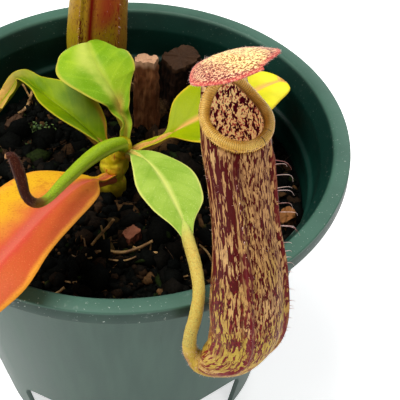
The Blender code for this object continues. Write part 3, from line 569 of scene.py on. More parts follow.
# lime and dust gather on the lip and just under it, most of all at the front
front_mark = plastic.node("ShaderNodeSeparateXYZ", {"output": "Y"}, where).rise(0.02, -0.04)
dusty = height_mark.rise(75.0, 81.0) * (0.25 + front_mark * 0.75)
dust = (lime.rise(0.62, 0.80) * 0.45 + specks.rise(0.66, 0.74) * 0.55) * dusty
skin = plastic.mix(skin, tint(205, 214, 204), dust.clip())
plastic.wear(skin, 0.36 + draw_marks * 0.18 + dust * 0.3, specks * 0.4 + draw_marks, 0.05)

pot = Shape()
pot.rings(pot_points[1:-1] * MM, pot_marks[1:-1])
pot_piece = pot.build("nursery_pot", plastic.material, "green_plastic", "pot", crease=POT_CREASE)

# %% Weld the lifted edge and cut the drain holes
bm = bmesh.new()
bm.from_mesh(pot_piece.data)
bmesh.ops.remove_doubles(bm, verts=bm.verts, dist=0.004 * MM)
bmesh.ops.recalc_face_normals(bm, faces=bm.faces)
bm.to_mesh(pot_piece.data)
bm.free()
drills = Shape()
for k in range(FEET):
    turn = math.radians(FOOT_TURN * k)
    stick = np.array([[0.0, 0.0, FLOOR_TOP - 4.0], [0.0, 0.0, FLOOR_TOP + 2.0]])
    stick += (DRAIN_CIRCLE * math.cos(turn), DRAIN_CIRCLE * math.sin(turn) + POT_BACK, 0.0)
    drills.rings(round_tube(stick * MM, DRAIN_RADIUS * MM, 24, (1, 0, 0)), 0.0)
drill_piece = drills.build("drain_drill", plastic.material, "green_plastic")
cut = pot_piece.modifiers.new("drain_holes", "BOOLEAN")
cut.operation, cut.object, cut.solver = "DIFFERENCE", drill_piece, "EXACT"
depsgraph = bpy.context.evaluated_depsgraph_get()
pot_piece.data = bpy.data.meshes.new_from_object(pot_piece.evaluated_get(depsgraph))
pot_piece.modifiers.clear()
pot_piece.data.shade_smooth()
pot_piece.data.set_sharp_from_angle(angle=math.radians(POT_CREASE))
bpy.data.objects.remove(drill_piece, do_unlink=True)
print("pot faces after drilling:", len(pot_piece.data.polygons))

# %% [markdown]
# ## The potting mix
# The mix is bark, peat and moss, nearly black when wet. One closed body fills the pot, its top
# rolling in low waves and flat under each chip that lies on it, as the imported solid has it.
# Thousands of small faceted crumbs sit on it, because it is their edges that catch the light.

# %% Mix: its height
MIX_TOP, MIX_FOOT, MIX_RADIUS = 66.5, 26.5, 46.9
MIX_NARROWING = 0.19           # how much narrower the body is below than at its top
CHIPS = {                      # size along, across and up in mm, place, turn in degrees
    "bark_slab": ((8.5, 4.6, 25.0), (6.6, 24.0), -18.0),
    "bark_block": ((14.0, 11.0, 17.0), (17.0, 36.0), 30.0),
    "bark_chip_right": ((8.0, 5.0, 4.0), (40.5, -15.5), 40.0),
    "bark_chip_front": ((6.0, 4.4, 3.4), (0.8, -18.6), 35.0),
    "bark_chip_left": ((9.0, 6.0, 3.6), (-30.0, -10.0), 20.0),
    "bark_chip_back": ((9.0, 6.0, 5.0), (38.5, 18.5), -35.0),
    "bark_chip_side": ((7.0, 5.5, 4.2), (-30.5, 24.0), 55.0),
}
PITCHER_PAD = (-8.0, 34.5, 6.0)    # a flat under the back pitcher: x, y and reach in mm


def mix_height(x, y):
    """Crossed waves and one mound, faded flat near the wall and round each chip, in mm."""
    waves = (0.55 * np.sin(0.31 * x + 1.1) * np.cos(0.27 * y - 0.4)
             + 0.40 * np.sin(0.53 * x - 0.37 * y + 2.0) + 0.30 * np.cos(0.71 * y + 0.22 * x))
    mound = 2.2 * np.exp(-((x + 6) ** 2 / 300.0 + (y + 24) ** 2 / 90.0))
    relief = (waves + mound) * np.clip((45.5 - np.hypot(x, y)) / 5.0, 0.0, 1.0)
    pads = [(px, py, 0.62 * max(size[0], size[1]) + 2.0) for size, (px, py), _ in CHIPS.values()]
    for px, py, reach in pads + [PITCHER_PAD]:
        relief = relief * np.clip((np.hypot(x - px, y - py) - reach) / 3.0, 0.0, 1.0)
    return MIX_TOP + relief


ring_share = np.concatenate([np.linspace(0.02, 1.0, 70), [1.0, 0.99, 0.7, 0.02]])
ring_drop = np.concatenate([np.zeros(71), [1.0, 1.0, 1.0]])
turn = turns(200)
x = MIX_RADIUS * ring_share[:, None] * np.cos(turn)
y = MIX_RADIUS * ring_share[:, None] * np.sin(turn)
top = mix_height(x, y) + 0.25 * waviness(spread(x, y, 0.0) * MM, 3.0, 5)
narrow = 1.0 - ring_drop[:, None] * MIX_NARROWING
z = np.where(ring_drop[:, None] > 0, MIX_FOOT, top)
mix_points = spread(x * narrow, y * narrow + POT_BACK, z) * MM

# %% Mix: crumbs and fibres
draw = np.random.default_rng(4)
PHI = (1 + math.sqrt(5)) / 2
CRUMB = unit(np.array([(-1, PHI, 0), (1, PHI, 0), (-1, -PHI, 0), (1, -PHI, 0), (0, -1, PHI),
                       (0, 1, PHI), (0, -1, -PHI), (0, 1, -PHI), (PHI, 0, -1), (PHI, 0, 1),
                       (-PHI, 0, -1), (-PHI, 0, 1)], float))
CRUMB_FACES = np.array([(0, 11, 5), (0, 5, 1), (0, 1, 7), (0, 7, 10), (0, 10, 11), (1, 5, 9),
                        (5, 11, 4), (11, 10, 2), (10, 7, 6), (7, 1, 8), (3, 9, 4), (3, 4, 2),
                        (3, 2, 6), (3, 6, 8), (3, 8, 9), (4, 9, 5), (2, 4, 11), (6, 2, 10),
                        (8, 6, 7), (9, 8, 1)])


def crumbs(shape, places, sizes, marks, rough=0.35):
    """Twenty-sided lumps, each stretched, dented and turned by its own random draw."""
    count = len(places)
    lumps = CRUMB[None] * (1.0 + draw.uniform(-rough, rough, (count, 12, 1)))
    lumps = lumps * draw.uniform(0.35, 1.5, (count, 1, 3)) * sizes[:, None, None]
    turned, _ = np.linalg.qr(draw.normal(size=(count, 3, 3)))
    turned *= np.linalg.det(turned)[:, None, None]
    points = np.einsum("nij,nkj->nki", turned, lumps) + places[:, None]
    faces = (CRUMB_FACES[None] + (np.arange(count) * 12)[:, None, None]).reshape(-1, 3)
    shape.add(points * MM, [faces], np.repeat(marks, 12, axis=0))


def scattered(count, reach):
    """Random places on the mix, evenly spread over its round top, in pot millimetres."""
    r = reach * np.sqrt(draw.uniform(0.0, 1.0, count))
    a = draw.uniform(0.0, 2 * np.pi, count)
    return r * np.cos(a), r * np.sin(a)


mix = Shape()
mix.rings(mix_points, 0.0)
x, y = scattered(6800, 46.0)
size = draw.gamma(1.6, 0.42, len(x)) + 0.20
clear = np.hypot(x + 3.5, y) > 4.2
x, y, size = x[clear], y[clear], size[clear]
crumb_places = spread(x, y + POT_BACK, mix_height(x, y) + size * 0.15)
kinds = draw.uniform(0.0, 1.0, (len(x), 3))
crumbs(mix, crumb_places, size, kinds)

# %% [markdown]
# ### Wet mix
# Each crumb carries three random marks. The first picks its colour, from soot black through
# brown to the odd tan or mossy one; the noise on top keeps any crumb from being one flat tone.

# %% Mix finish
soil = Finish("potting_mix", 0.8, Specular_IOR_Level=0.06)
pick, grain = soil.mark("marks", 0), soil.noise(soil.place, 1400.0, 3.0, 0.6)
earth = soil.node("ShaderNodeValToRGB", {"stops": [
    (0.0, tint(3, 5, 3)), (0.62, tint(9, 10, 7)), (0.84, tint(26, 19, 12)),
    (0.95, tint(62, 42, 25)), (1.0, tint(104, 74, 44))]}, pick)
mossy = soil.mark("marks", 1).rise(0.93, 0.97)
earth = soil.mix(earth, tint(34, 48, 14), mossy * 0.7)
earth = soil.mix(earth, tint(3, 3, 3), grain.rise(0.45, 0.75) * 0.8)
soil.wear(earth, 0.62 + grain * 0.3, grain, 0.25)
mix.build("potting_mix_crumbs", soil.material, "potting_mix", "potting_mix")

# %% Fibres and moss on the mix
fibres = Shape()
x, y = scattered(240, 45.0)
lie = draw.uniform(0.0, 2 * np.pi, len(x))
roots = spread(x, y + POT_BACK, mix_height(x, y) + 0.4) * MM
aims = spread(np.cos(lie), np.sin(lie), draw.uniform(-0.02, 0.22, len(x)))
bends = spread(-np.sin(lie), np.cos(lie), -0.4) * draw.uniform(-0.3, 0.3, (len(x), 1))
hairs(fibres, roots, aims, bends, draw.uniform(2.5, 8.0, len(x)), draw.uniform(0.06, 0.16, len(x)),
      steps=6)
fibre_finish = Finish("dry_fibre", 0.8)
fibre_tone = fibre_finish.noise(fibre_finish.place, 90.0, 2.0)
fibre_finish.wear(fibre_finish.mix(tint(58, 38, 20), tint(132, 92, 48), fibre_tone.rise(0.4, 0.7)))
fibres.build("root_fibres", fibre_finish.material, "dry_straw")

moss = Shape()
for mx, my, count in ((-24.0, 25.0, 70), (-25.0, 19.5, 40), (-20.0, 20.5, 36), (34.0, 24.0, 30)):
    spread_out = draw.normal(0.0, 1.7, (count, 2)) * (1.0, 0.7)
    px, py = mx + spread_out[:, 0], my + spread_out[:, 1]
    places = spread(px, py + POT_BACK, mix_height(px, py) + draw.uniform(0.2, 1.0, count))
    crumbs(moss, places, draw.uniform(0.2, 0.55, count), draw.uniform(0, 1, (count, 3)))
moss_finish = Finish("moss", 0.7)
moss_finish.wear(moss_finish.mix(tint(28, 52, 12), tint(104, 134, 56), moss_finish.mark("marks", 0)))
moss.build("moss_tufts", moss_finish.material, "young_leaf")

# %% [markdown]
# ## Bark and straws
# Bark splits along its grain into blocks with flat faces and ragged ends. Each chip is a closed
# tube of rings, standing on the mix, whose section is a rounded box; long low ridges along the
# grain and finer waves roughen it. The straws are thin tubes on the routes of their solids.


# %% Bark
def bark(name, seed):
    """Rings from the foot to the crown: a box with soft corners, ridged along its grain."""
    size, (cx, cy), degrees = CHIPS[name]
    low, high = (np.array(corner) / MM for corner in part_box(name))
    tall = high[2] - low[2]
    level = np.concatenate([[0.0, 0.0], np.linspace(0.02, 1.0, 26), [1.0, 1.0]])
    shrink = np.concatenate([[0.3, 0.85], np.ones(26), [0.75, 0.3]])
    a = turns(96)
    square = 1.0 / (np.abs(np.cos(a)) ** 5 + np.abs(np.sin(a)) ** 5) ** 0.2
    waist = (0.86 - 0.14 * level ** 2)[:, None] * shrink[:, None]
    ridges = waviness(spread(5 * np.cos(a), 5 * np.sin(a), 0.0) * MM, 1.7, seed)
    crooked = 1.0 + 0.045 * ridges - 0.05
    x = 0.5 * size[0] * waist * square * crooked * np.cos(a)
    y = 0.5 * size[1] * waist * square * crooked * np.sin(a)
    z = low[2] + tall * level[:, None]
    edge = spread(x, y, z) * MM
    x, y = x + 0.16 * waviness(edge, 2.4, seed + 1), y + 0.16 * waviness(edge, 2.4, seed + 2)
    slant = (0.10 * x + 0.12 * y + 0.35 * waviness(edge * (1, 1, 0), 2.0, seed + 3)) * level[:, None]
    turn = math.radians(degrees)
    points = spread(cx + x * math.cos(turn) - y * math.sin(turn),
                    cy + x * math.sin(turn) + y * math.cos(turn) + POT_BACK,
                    np.minimum(z + slant - 0.5 * level[:, None], high[2]))
    return points * MM, spread(a, level[:, None], 0.0)


def bark_finish(name, dark, light, top):
    """Brown wood with lines along the grain, paler where it was split at the crown."""
    wood = Finish(name, 0.8, Specular_IOR_Level=0.15)
    grain = wood.noise(wood.stretch(wood.place, 1500.0, 1500.0, 130.0), 1.0, 4.0, 0.6)
    patch = wood.noise(wood.place, 260.0, 2.0)
    body = wood.mix(dark, light, (grain * 0.7 + patch * 0.5).rise(0.5, 0.85))
    crown = wood.mark("marks", 1).rise(0.90, 0.97) * (0.45 + patch * 0.7)
    wood.wear(wood.mix(body, top, crown.clip()), 0.55 + grain * 0.35, grain, 0.3)
    return wood.material


dark_bark = bark_finish("dark_bark", tint(114, 66, 38), tint(174, 116, 74), tint(214, 168, 132))
black_bark = bark_finish("black_bark", tint(16, 9, 5), tint(58, 36, 22), tint(74, 50, 32))
rust_bark = bark_finish("rust_bark", tint(70, 34, 22), tint(142, 84, 62), tint(150, 92, 66))
tan_bark = bark_finish("tan_bark", tint(44, 26, 12), tint(116, 72, 34), tint(140, 90, 46))
BARK_WOOD = {"bark_slab": dark_bark, "bark_block": black_bark, "bark_chip_front": rust_bark,
             "bark_chip_left": black_bark, "bark_chip_side": black_bark}
for seed, name in enumerate(CHIPS):
    chip = Shape()
    chip.rings(*bark(name, 30 + 5 * seed))
    chip.build(name + "_wood", BARK_WOOD.get(name, tan_bark), "bark", name, crease=38.0)

# %% Straws
STRAWS = {                     # stations x, y and height over the mix, then a radius, in mm
    "straw_back": ([(1.0, 41.5, 0.2), (8.0, 43.0, 0.9), (15.0, 42.8, 0.2)], 0.6),
    "straw_front": ([(-10.5, -25.4, 0.5), (-3.4, -24.6, 0.6), (6.0, -23.4, 3.4)], 0.45),
    "straw_slanted": ([(-9.0, -21.6, 0.5), (-6.4, -20.6, 4.0), (-3.4, -19.6, 8.4)], 0.4),
    "straw_side": ([(-30.0, 30.6, 0.4), (-27.0, 33.6, 1.6), (-24.6, 37.4, 9.0)], 0.5),
}
straw_finish = Finish("dry_straw", 0.6)
fibre_line = straw_finish.noise(straw_finish.place, 900.0, 3.0)
blotchy = straw_finish.noise(straw_finish.place, 260.0, 2.0)
straw_tone = straw_finish.mix(tint(112, 78, 40), tint(204, 160, 96), blotchy.rise(0.35, 0.65))
straw_tone = straw_finish.mix(straw_tone, tint(48, 28, 14), fibre_line.rise(0.58, 0.75) * 0.7)
straw_finish.wear(straw_tone, 0.6, fibre_line, 0.08)
for name, (route, thick) in STRAWS.items():
    places = np.linspace(0, len(route) - 1, 40)
    x, y, lift = between(route, places).T
    line = spread(x, y + POT_BACK, mix_height(x, y) + thick + 0.3 + lift) * MM
    knots = 1.0 + 0.28 * bell((places - 1.1) / 0.035)
    flat = 1.0 - 0.15 * np.cos(2 * turns(10))
    straw = Shape()
    straw.rings(round_tube(line, thick * MM * knots[:, None] * flat, 10), 0.0)
    straw.build(name + "_dry", straw_finish.material, "dry_straw", name)

LOOSE = [                      # more thin straws: x, y and lift of both ends, then a radius, in mm
    ((-10.9, -21.3, 3.2), (-10.8, -24.0, 0.3), 0.20), ((-6.6, -18.3, 5.0), (-6.0, -20.8, 0.4), 0.22),
    ((1.2, -21.6, 0.6), (7.4, -25.3, 0.8), 0.30), ((5.0, -24.6, 0.4), (5.6, -22.8, 3.6), 0.22),
    ((-21.8, -35.3, 0.5), (-15.6, -34.4, 1.6), 0.36), ((-16.4, -31.4, 0.5), (-12.6, -33.4, 0.8), 0.26),
    ((17.2, -22.0, 0.5), (20.6, -27.4, 0.9), 0.30), ((-5.0, -27.0, 0.6), (1.8, -27.4, 1.6), 0.22),
    ((-14.0, -24.6, 0.4), (-9.0, -27.0, 1.6), 0.20), ((24.0, 22.0, 0.5), (29.0, 30.0, 3.0), 0.24),
    ((-26.0, 34.0, 0.5), (-29.6, 38.0, 8.0), 0.30), ((30.0, -2.0, 0.4), (37.0, 3.0, 1.4), 0.26),
    ((-34.0, 4.0, 0.4), (-31.0, 12.0, 2.0), 0.24), ((12.0, -33.0, 0.5), (18.0, -30.0, 1.0), 0.22),
]
loose = Shape()
for start, stop, thick in LOOSE:
    t = np.linspace(0.0, 1.0, 14)[:, None]
    x, y, lift = (np.array(start) * (1 - t) + np.array(stop) * t).T
    bow = 0.08 * np.hypot(stop[0] - start[0], stop[1] - start[1]) * np.sin(np.pi * t[:, 0])
    line = spread(x + bow, y - bow + POT_BACK, mix_height(x, y) + lift + thick) * MM
    loose.rings(round_tube(line, thick * MM, 6), 0.0)
loose.build("loose_straws", straw_finish.material, "dry_straw")

# %% [markdown]
# ## Stem and leaves
# A pitcher plant's leaf is a blade with a strong midrib that runs on past the blade as a tendril,
# and a tendril may end in a pitcher. Each leaf here follows its table: place, thickness of
# the rib, width of the blade on both sides, how far it folds up and how far it curls over. The
# blade is one closed skin: its two faces lie 0.6 mm apart at the rib and meet at the edge.

# %% Tables of the stem, leaves and shoot
# stem and shoot: x, y, z in mm from the pot's axis, then radius
STEM = [
    (-3.5, 0.0, 43.5, 2.2), (-3.5, -0.2, 56.0, 3.0), (-3.5, -0.6, 64.0, 3.1),
    (-3.5, -1.0, 70.0, 3.6), (-3.3, -0.9, 73.0, 2.9), (-2.9, -0.6, 76.3, 3.8),
    (-1.8, -0.6, 79.8, 2.9), (-0.7, -0.8, 82.4, 2.7), (0.0, -0.8, 84.6, 1.7),
]

# leaves: x, y, z, rib radius, half width left and right of the rib, fold in degrees, curl
LEAF_FRONT = [
    (-0.4, -1.2, 80.6, 1.1, 1.4, 1.3, 35, 0.0), (2.4, -4.8, 83.0, 1.1, 1.6, 1.6, 30, 0.0),
    (5.5, -11.6, 87.1, 0.9, 4.3, 4.4, 18, 0.10), (8.6, -21.7, 90.5, 0.9, 7.8, 6.7, 12, 0.16),
    (10.9, -30.6, 92.0, 1.0, 6.7, 5.8, 10, 0.16), (12.4, -37.2, 92.4, 1.2, 2.4, 2.9, 10, 0.10),
    (13.0, -42.4, 92.3, 1.4, 1.0, 1.0, 5, 0.0), (13.9, -48.7, 92.2, 1.4, 0, 0, 0, 0.0),
    (14.2, -55.0, 91.2, 1.3, 0, 0, 0, 0.0), (13.3, -59.1, 88.3, 1.4, 0, 0, 0, 0.0),
    (12.3, -60.3, 83.9, 1.4, 0, 0, 0, 0.0), (12.1, -60.5, 80.4, 1.5, 0, 0, 0, 0.0),
]
LEAF_UPPER = [
    (0.2, 0.8, 81.6, 1.1, 1.5, 1.5, 45, 0.0), (0.3, 2.5, 86.3, 1.1, 2.2, 2.0, 45, 0.0),
    (-0.7, 3.7, 89.8, 1.1, 2.9, 2.3, 40, 0.0), (-1.3, 5.2, 92.5, 1.0, 4.6, 3.4, 25, 0.05),
    (-3.6, 7.9, 96.0, 0.9, 8.0, 8.2, 14, 0.12), (-5.8, 11.6, 98.5, 0.9, 10.7, 9.6, 10, 0.20),
    (-7.4, 16.1, 99.5, 0.9, 9.1, 8.7, 8, 0.26), (-8.4, 21.4, 98.6, 0.9, 6.0, 3.3, 6, 0.20),
    (-11.6, 24.0, 92.4, 0.9, 1.4, 1.6, 5, 0.0), (-11.8, 26.4, 85.0, 1.0, 0, 0, 0, 0.0),
    (-11.1, 28.2, 78.8, 1.0, 0, 0, 0, 0.0), (-9.5, 30.4, 74.1, 1.2, 0, 0, 0, 0.0),
]
LEAF_LEFT = [
    (-2.0, -0.5, 77.0, 1.1, 1.6, 1.6, 45, 0.0), (-5.6, 1.4, 81.2, 1.1, 1.9, 1.9, 45, 0.0),
    (-8.3, 3.4, 83.4, 1.0, 3.6, 5.2, 38, 0.0), (-13.0, 7.8, 85.4, 0.9, 6.0, 7.8, 34, 0.05),
    (-18.3, 13.0, 86.6, 0.9, 5.3, 6.6, 32, 0.05), (-22.9, 18.0, 87.2, 0.9, 2.0, 3.6, 32, 0.0),
    (-26.8, 21.7, 87.4, 0.9, 2.6, 2.6, 30, 0.0), (-30.2, 19.8, 84.0, 0.9, 2.5, 2.4, 30, 0.0),
    (-32.9, 17.8, 81.4, 0.9, 2.2, 2.2, 20, 0.0), (-36.0, 15.4, 77.4, 0.9, 0, 0, 0, 0.0),
    (-38.2, 11.2, 73.8, 0.9, 0, 0, 0, 0.0), (-37.8, 6.8, 70.6, 0.8, 0, 0, 0, 0.0),
]
LEAF_RIGHT = [
    (-0.8, -0.2, 77.2, 1.1, 1.5, 1.5, 45, 0.0), (4.0, -0.2, 80.6, 1.1, 1.8, 1.7, 40, 0.0),
    (8.0, -0.3, 83.0, 1.0, 1.5, 1.6, 35, 0.0), (11.4, 0.8, 84.4, 0.9, 1.6, 1.9, 25, 0.0),
    (16.5, 2.5, 86.6, 0.9, 8.1, 12.1, 20, 0.04), (24.0, 5.2, 88.6, 0.9, 11.2, 11.4, 16, 0.10),
    (31.0, 8.8, 89.4, 0.9, 11.6, 9.4, 12, 0.14), (36.6, 12.8, 89.2, 0.9, 9.5, 7.0, 10, 0.16),
    (40.6, 16.0, 88.2, 0.8, 6.6, 5.0, 8, 0.12), (42.4, 17.4, 87.6, 0.7, 4.6, 3.4, 4, 0.06),
    (43.4, 18.1, 87.2, 0.5, 1.4, 1.2, 0, 0.0),
]
LEAF_OLD = [
    (-2.4, -0.8, 71.5, 1.2, 1.6, 1.6, 45, 0.0), (-4.6, -6.2, 76.4, 1.2, 1.9, 1.9, 35, 0.0),
    (-6.7, -10.8, 80.0, 1.1, 1.8, 1.9, 25, 0.0), (-8.4, -14.4, 84.0, 1.0, 2.1, 3.6, 14, 0.06),
    (-12.0, -21.7, 88.9, 1.0, 6.3, 12.1, 10, 0.12), (-17.4, -32.6, 93.4, 1.0, 7.4, 13.8, 8, 0.14),
    (-22.6, -42.9, 95.8, 1.0, 7.5, 13.2, 8, 0.16), (-28.0, -51.7, 96.1, 1.0, 8.4, 12.0, 8, 0.18),
    (-33.5, -59.0, 92.8, 1.0, 5.8, 8.2, 8, 0.18), (-37.6, -63.6, 87.2, 1.0, 3.0, 4.2, 6, 0.10),
    (-39.8, -66.0, 82.4, 0.9, 1.1, 1.1, 0, 0.0), (-41.0, -67.2, 77.0, 0.7, 0, 0, 0, 0.0),
]
NEW_SHOOT = [
    (-0.5, -1.6, 83.0, 1.6), (-1.2, -4.7, 87.0, 1.7), (-4.7, -10.2, 90.6, 1.9),
    (-8.8, -18.4, 94.6, 1.7), (-13.3, -30.0, 99.7, 1.3), (-16.0, -38.8, 103.9, 1.0),
    (-18.0, -43.5, 107.2, 1.0), (-19.7, -44.4, 110.3, 1.0), (-20.6, -42.4, 114.0, 1.2),
    (-21.8, -40.6, 117.2, 1.0), (-23.2, -40.7, 117.7, 0.4),
]

# %% Leaf surfaces


def blade_skin(rows, start, stop, count=150, half_count=26, waves=None):
    """Rings round a thin blade: out along its upper face, and back along its lower one.

    The middle sheet is rib + side * (reach across) + over * (fold - curl * across squared).
    Each face lies half a thickness off it along the sheet's own normal. The sheet sinks to a
    groove along the rib, and low veins run out from it towards the tip.
    """
    places = np.linspace(start, stop, count)
    data = between(rows, places)
    ahead = headings(rows, places)
    side = unit(np.cross(ahead, (0.0, 0.0, 1.0)))
    over = np.cross(side, ahead)
    s = np.sin(np.linspace(-1.0, 1.0, 2 * half_count + 1) * np.pi / 2)[None, :]
    out = np.abs(s)
    width = np.where(s < 0, data[:, 4:5], data[:, 5:6])
    width = np.maximum(width, 0.6)
    fold, curl = np.radians(data[:, 6:7]), data[:, 7:8]
    share = ((places - start) / (stop - start))[:, None]
    if waves is not None:
        width = width * (1.0 + waves(share, s))
    reach = np.sign(s) * width * out * np.cos(fold)
    lift = width * (out * np.sin(fold) - curl * out ** 2)
    veins = 0.10 * np.sin(2 * np.pi * (9.0 * share - 1.6 * out ** 1.3)) * out * (1 - out)
    lift = lift + veins - 0.22 * bell(s * width / 0.55)
    middle = centres(rows, places)[:, None] + (reach[..., None] * side[:, None]
                                               + lift[..., None] * over[:, None]) * MM
    normal = unit(np.cross(np.gradient(middle, axis=1), np.gradient(middle, axis=0)))
    half = 0.30 * np.sqrt(np.clip(1.0 - out ** 6, 0.0, 1.0)) + 0.02
    half = half * (1.0 - 0.5 * share ** 6)
    upper = middle + normal * (half * MM)[..., None]
    lower = middle - normal * (half * MM)[..., None]
    ring = np.concatenate([upper, lower[:, -2:0:-1]], axis=1)
    back = s[:, -2:0:-1]
    across = np.concatenate([s, back], axis=1)
    face = np.concatenate([np.zeros_like(s), np.ones_like(back)], axis=1)
    return ring, spread(share, across, face)


def rib_skin(rows, last, count=190, sides=20, rough=0.02):
    """The rib and tendril: a round tube from the stem to the tip, its end drawn to a point."""
    places = np.linspace(0.0, last, count)
    data = between(rows, places)
    ahead = headings(rows, places)
    over = np.cross(unit(np.cross(ahead, (0.0, 0.0, 1.0))), ahead)
    blade = 0.0 if data.shape[1] < 6 else np.clip((data[:, 4] + data[:, 5] - 2.4) / 4.0, 0.0, 1.0)
    sunk = blade * (data[:, 3] * 0.85 + 0.15) * MM
    line = centres(rows, places) - over * sunk[:, None]
    ends = np.clip(np.minimum(np.arange(count) + 0.6, count - np.arange(count) - 0.4) / 3.0, 0, 1)
    radii = data[:, 3] * MM * np.sqrt(1 - (1 - ends) ** 2)
    grain = 1.0 + rough * waviness(round_tube(line, radii, sides, (0, 0, 1)), 0.9, 3)
    skin = round_tube(line, radii[:, None] * grain, sides, (0, 0, 1))
    angle = np.linspace(-1.0, 1.0, sides, endpoint=False)[None, :]
    return skin, spread((places / last)[:, None], angle, 2.0)


def surface_hairs(shape, skin, count, length, thick, seed, rows=(0.0, 1.0), lean=0.5):
    """Short spikes on random points of a skin of rings, standing out from its middle line."""
    draw = np.random.default_rng(seed)
    n, m = skin.shape[:2]
    i = (draw.uniform(rows[0], rows[1], count) * (n - 1)).astype(int)
    j = draw.integers(0, m, count)
    roots = skin[i, j]
    out = unit(roots - skin[i].mean(1))
    stray = draw.normal(0.0, 0.35, (count, 3))
    hairs(shape, roots - out * 0.05 * MM, out + stray, draw.normal(0.0, lean, (count, 3)),
          draw.uniform(0.4, 1.0, count) * length, thick, steps=4)


# %% [markdown]
# ### Leaf paint
# Young leaves are a waxy yellow-green that is lighter along the rib and at the rim, where the
# blade is thin. Fine pale dots are glands and scales. Old leaves lose their green from the rim
# inwards: yellow, then orange, then red along the rib. The marks say how far along and across
# the blade a point lies, and 2 in the third says that it is rib or tendril.


# %% Leaf finishes
def leaf_finish(name, face, shade, rib, rim, tendril, dots, tip=None, blush=None, rough=0.36,
                rib_share=0.6, stop=0.8):
    """Layers from the blade's face to rib, rim and dots; stop is where the tendril begins."""
    leaf = Finish(name, rough, Specular_IOR_Level=0.06)
    along, across, part = (leaf.mark("marks", k) for k in range(3))
    out = across.size()
    cloud = leaf.noise(leaf.place, 130.0, 3.0)
    fine = leaf.noise(leaf.place, 2600.0, 2.0, 0.6)
    spot = leaf.noise(leaf.place, 5200.0, 1.0, 0.5)
    vein = ((along * 9.0 - out * 1.6) * (2 * math.pi)).wave()
    tone = leaf.mix(face, shade, (cloud.rise(0.35, 0.68) * 0.8 + vein.rise(0.7, 1.0) * 0.2).clip())
    if tip is not None:
        tone = leaf.mix(tone, tip, (along + (cloud - 0.5) * 0.3).rise(0.45, 0.85))
    if blush is not None:
        tone = blush(leaf, tone, along, across, cloud)
    band = out - along.rise(0.84, 1.0) * 0.9 - along.rise(0.30, 0.06) * 0.8
    tone = leaf.mix(tone, rib, band.rise(0.17, 0.02) * rib_share)
    tone = leaf.mix(tone, tendril, (band + 0.35).rise(0.16, 0.0) * 0.8)
    tone = leaf.mix(tone, rim, out.rise(0.90, 0.985) * 0.85)
    tone = leaf.mix(tone, dots, spot.rise(0.66, 0.74) * 0.55)
    stalk = leaf.mix(tendril, rib, fine.rise(0.4, 0.65) * 0.5)
    stalk = leaf.mix(stalk, tint(120, 72, 24), spot.rise(0.60, 0.68) * 0.55)
    stalk = leaf.mix(leaf.mix(face, rib, 0.5), stalk,
                     (along.rise(stop - 0.10, stop + 0.05) + along.rise(0.36, 0.24)).clip())
    tone = leaf.mix(tone, stalk, part.rise(1.4, 1.6))
    under = leaf.mix(tone, tint(150, 160, 70), part.ridge(1.0, 0.4) * 0.35)
    leaf.wear(under, rough + (fine - 0.5) * 0.3, fine + cloud * 2.0, 0.05)
    return leaf.material


def old_blush(leaf, tone, along, across, cloud):
    """Gold by the stem and on the left, deep red on the right, and rose along the rib."""
    wide = leaf.noise(leaf.place, 60.0, 2.0)
    gold = (across * 0.7 - along * 1.5 + (wide - 0.5) * 0.9).rise(-0.62, -0.22)
    tone = leaf.mix(tone, tint(222, 172, 26), gold * 0.9)
    right = (across * -1.0 + (wide - 0.5) * 0.5).rise(-0.15, 0.15) * along.rise(0.30, 0.52)
    tone = leaf.mix(tone, tint(190, 74, 42), right * 0.8)
    band = (across.size() + (wide - 0.5) * 0.4).rise(0.34, 0.04)
    tone = leaf.mix(tone, tint(198, 66, 54), band * along.rise(0.12, 0.34) * 0.9)
    tone = leaf.mix(tone, tint(204, 76, 40), along.rise(0.66, 0.95) * 0.6)
    tone = leaf.mix(tone, tint(238, 168, 50), (across.size() + (cloud - 0.5) * 0.2).rise(0.80, 0.97) * 0.8)
    patch = leaf.noise(leaf.place, 300.0, 3.0, 0.6)
    tone = leaf.mix(tone, tint(170, 50, 24), patch.rise(0.58, 0.68) * along.rise(0.55, 0.35) * 0.5)
    freckle = leaf.noise(leaf.place, 2200.0, 2.0, 0.6)
    return leaf.mix(tone, tint(176, 84, 32), freckle.rise(0.54, 0.66) * 0.45)


def left_blush(leaf, tone, along, across, cloud):
    """Orange and tan towards the tip, and along one edge near the stem."""
    tone = leaf.mix(tone, tint(214, 164, 88), (along + (cloud - 0.5) * 0.3).rise(0.62, 0.95))
    return leaf.mix(tone, tint(206, 128, 52), across.rise(0.7, 0.95) * along.rise(0.5, 0.1))


def upper_blush(leaf, tone, along, across, cloud):
    """A tawny stalk, and a paler cloud left of the rib."""
    pale = across.ridge(-0.25, 0.40) * (cloud + along * 0.4).rise(0.55, 0.85)
    tone = leaf.mix(tone, tint(206, 208, 104), pale * 0.55)
    return leaf.mix(tone, tint(196, 150, 74), across.ridge(0.0, 0.8) * along.rise(0.46, 0.34) * 0.8)


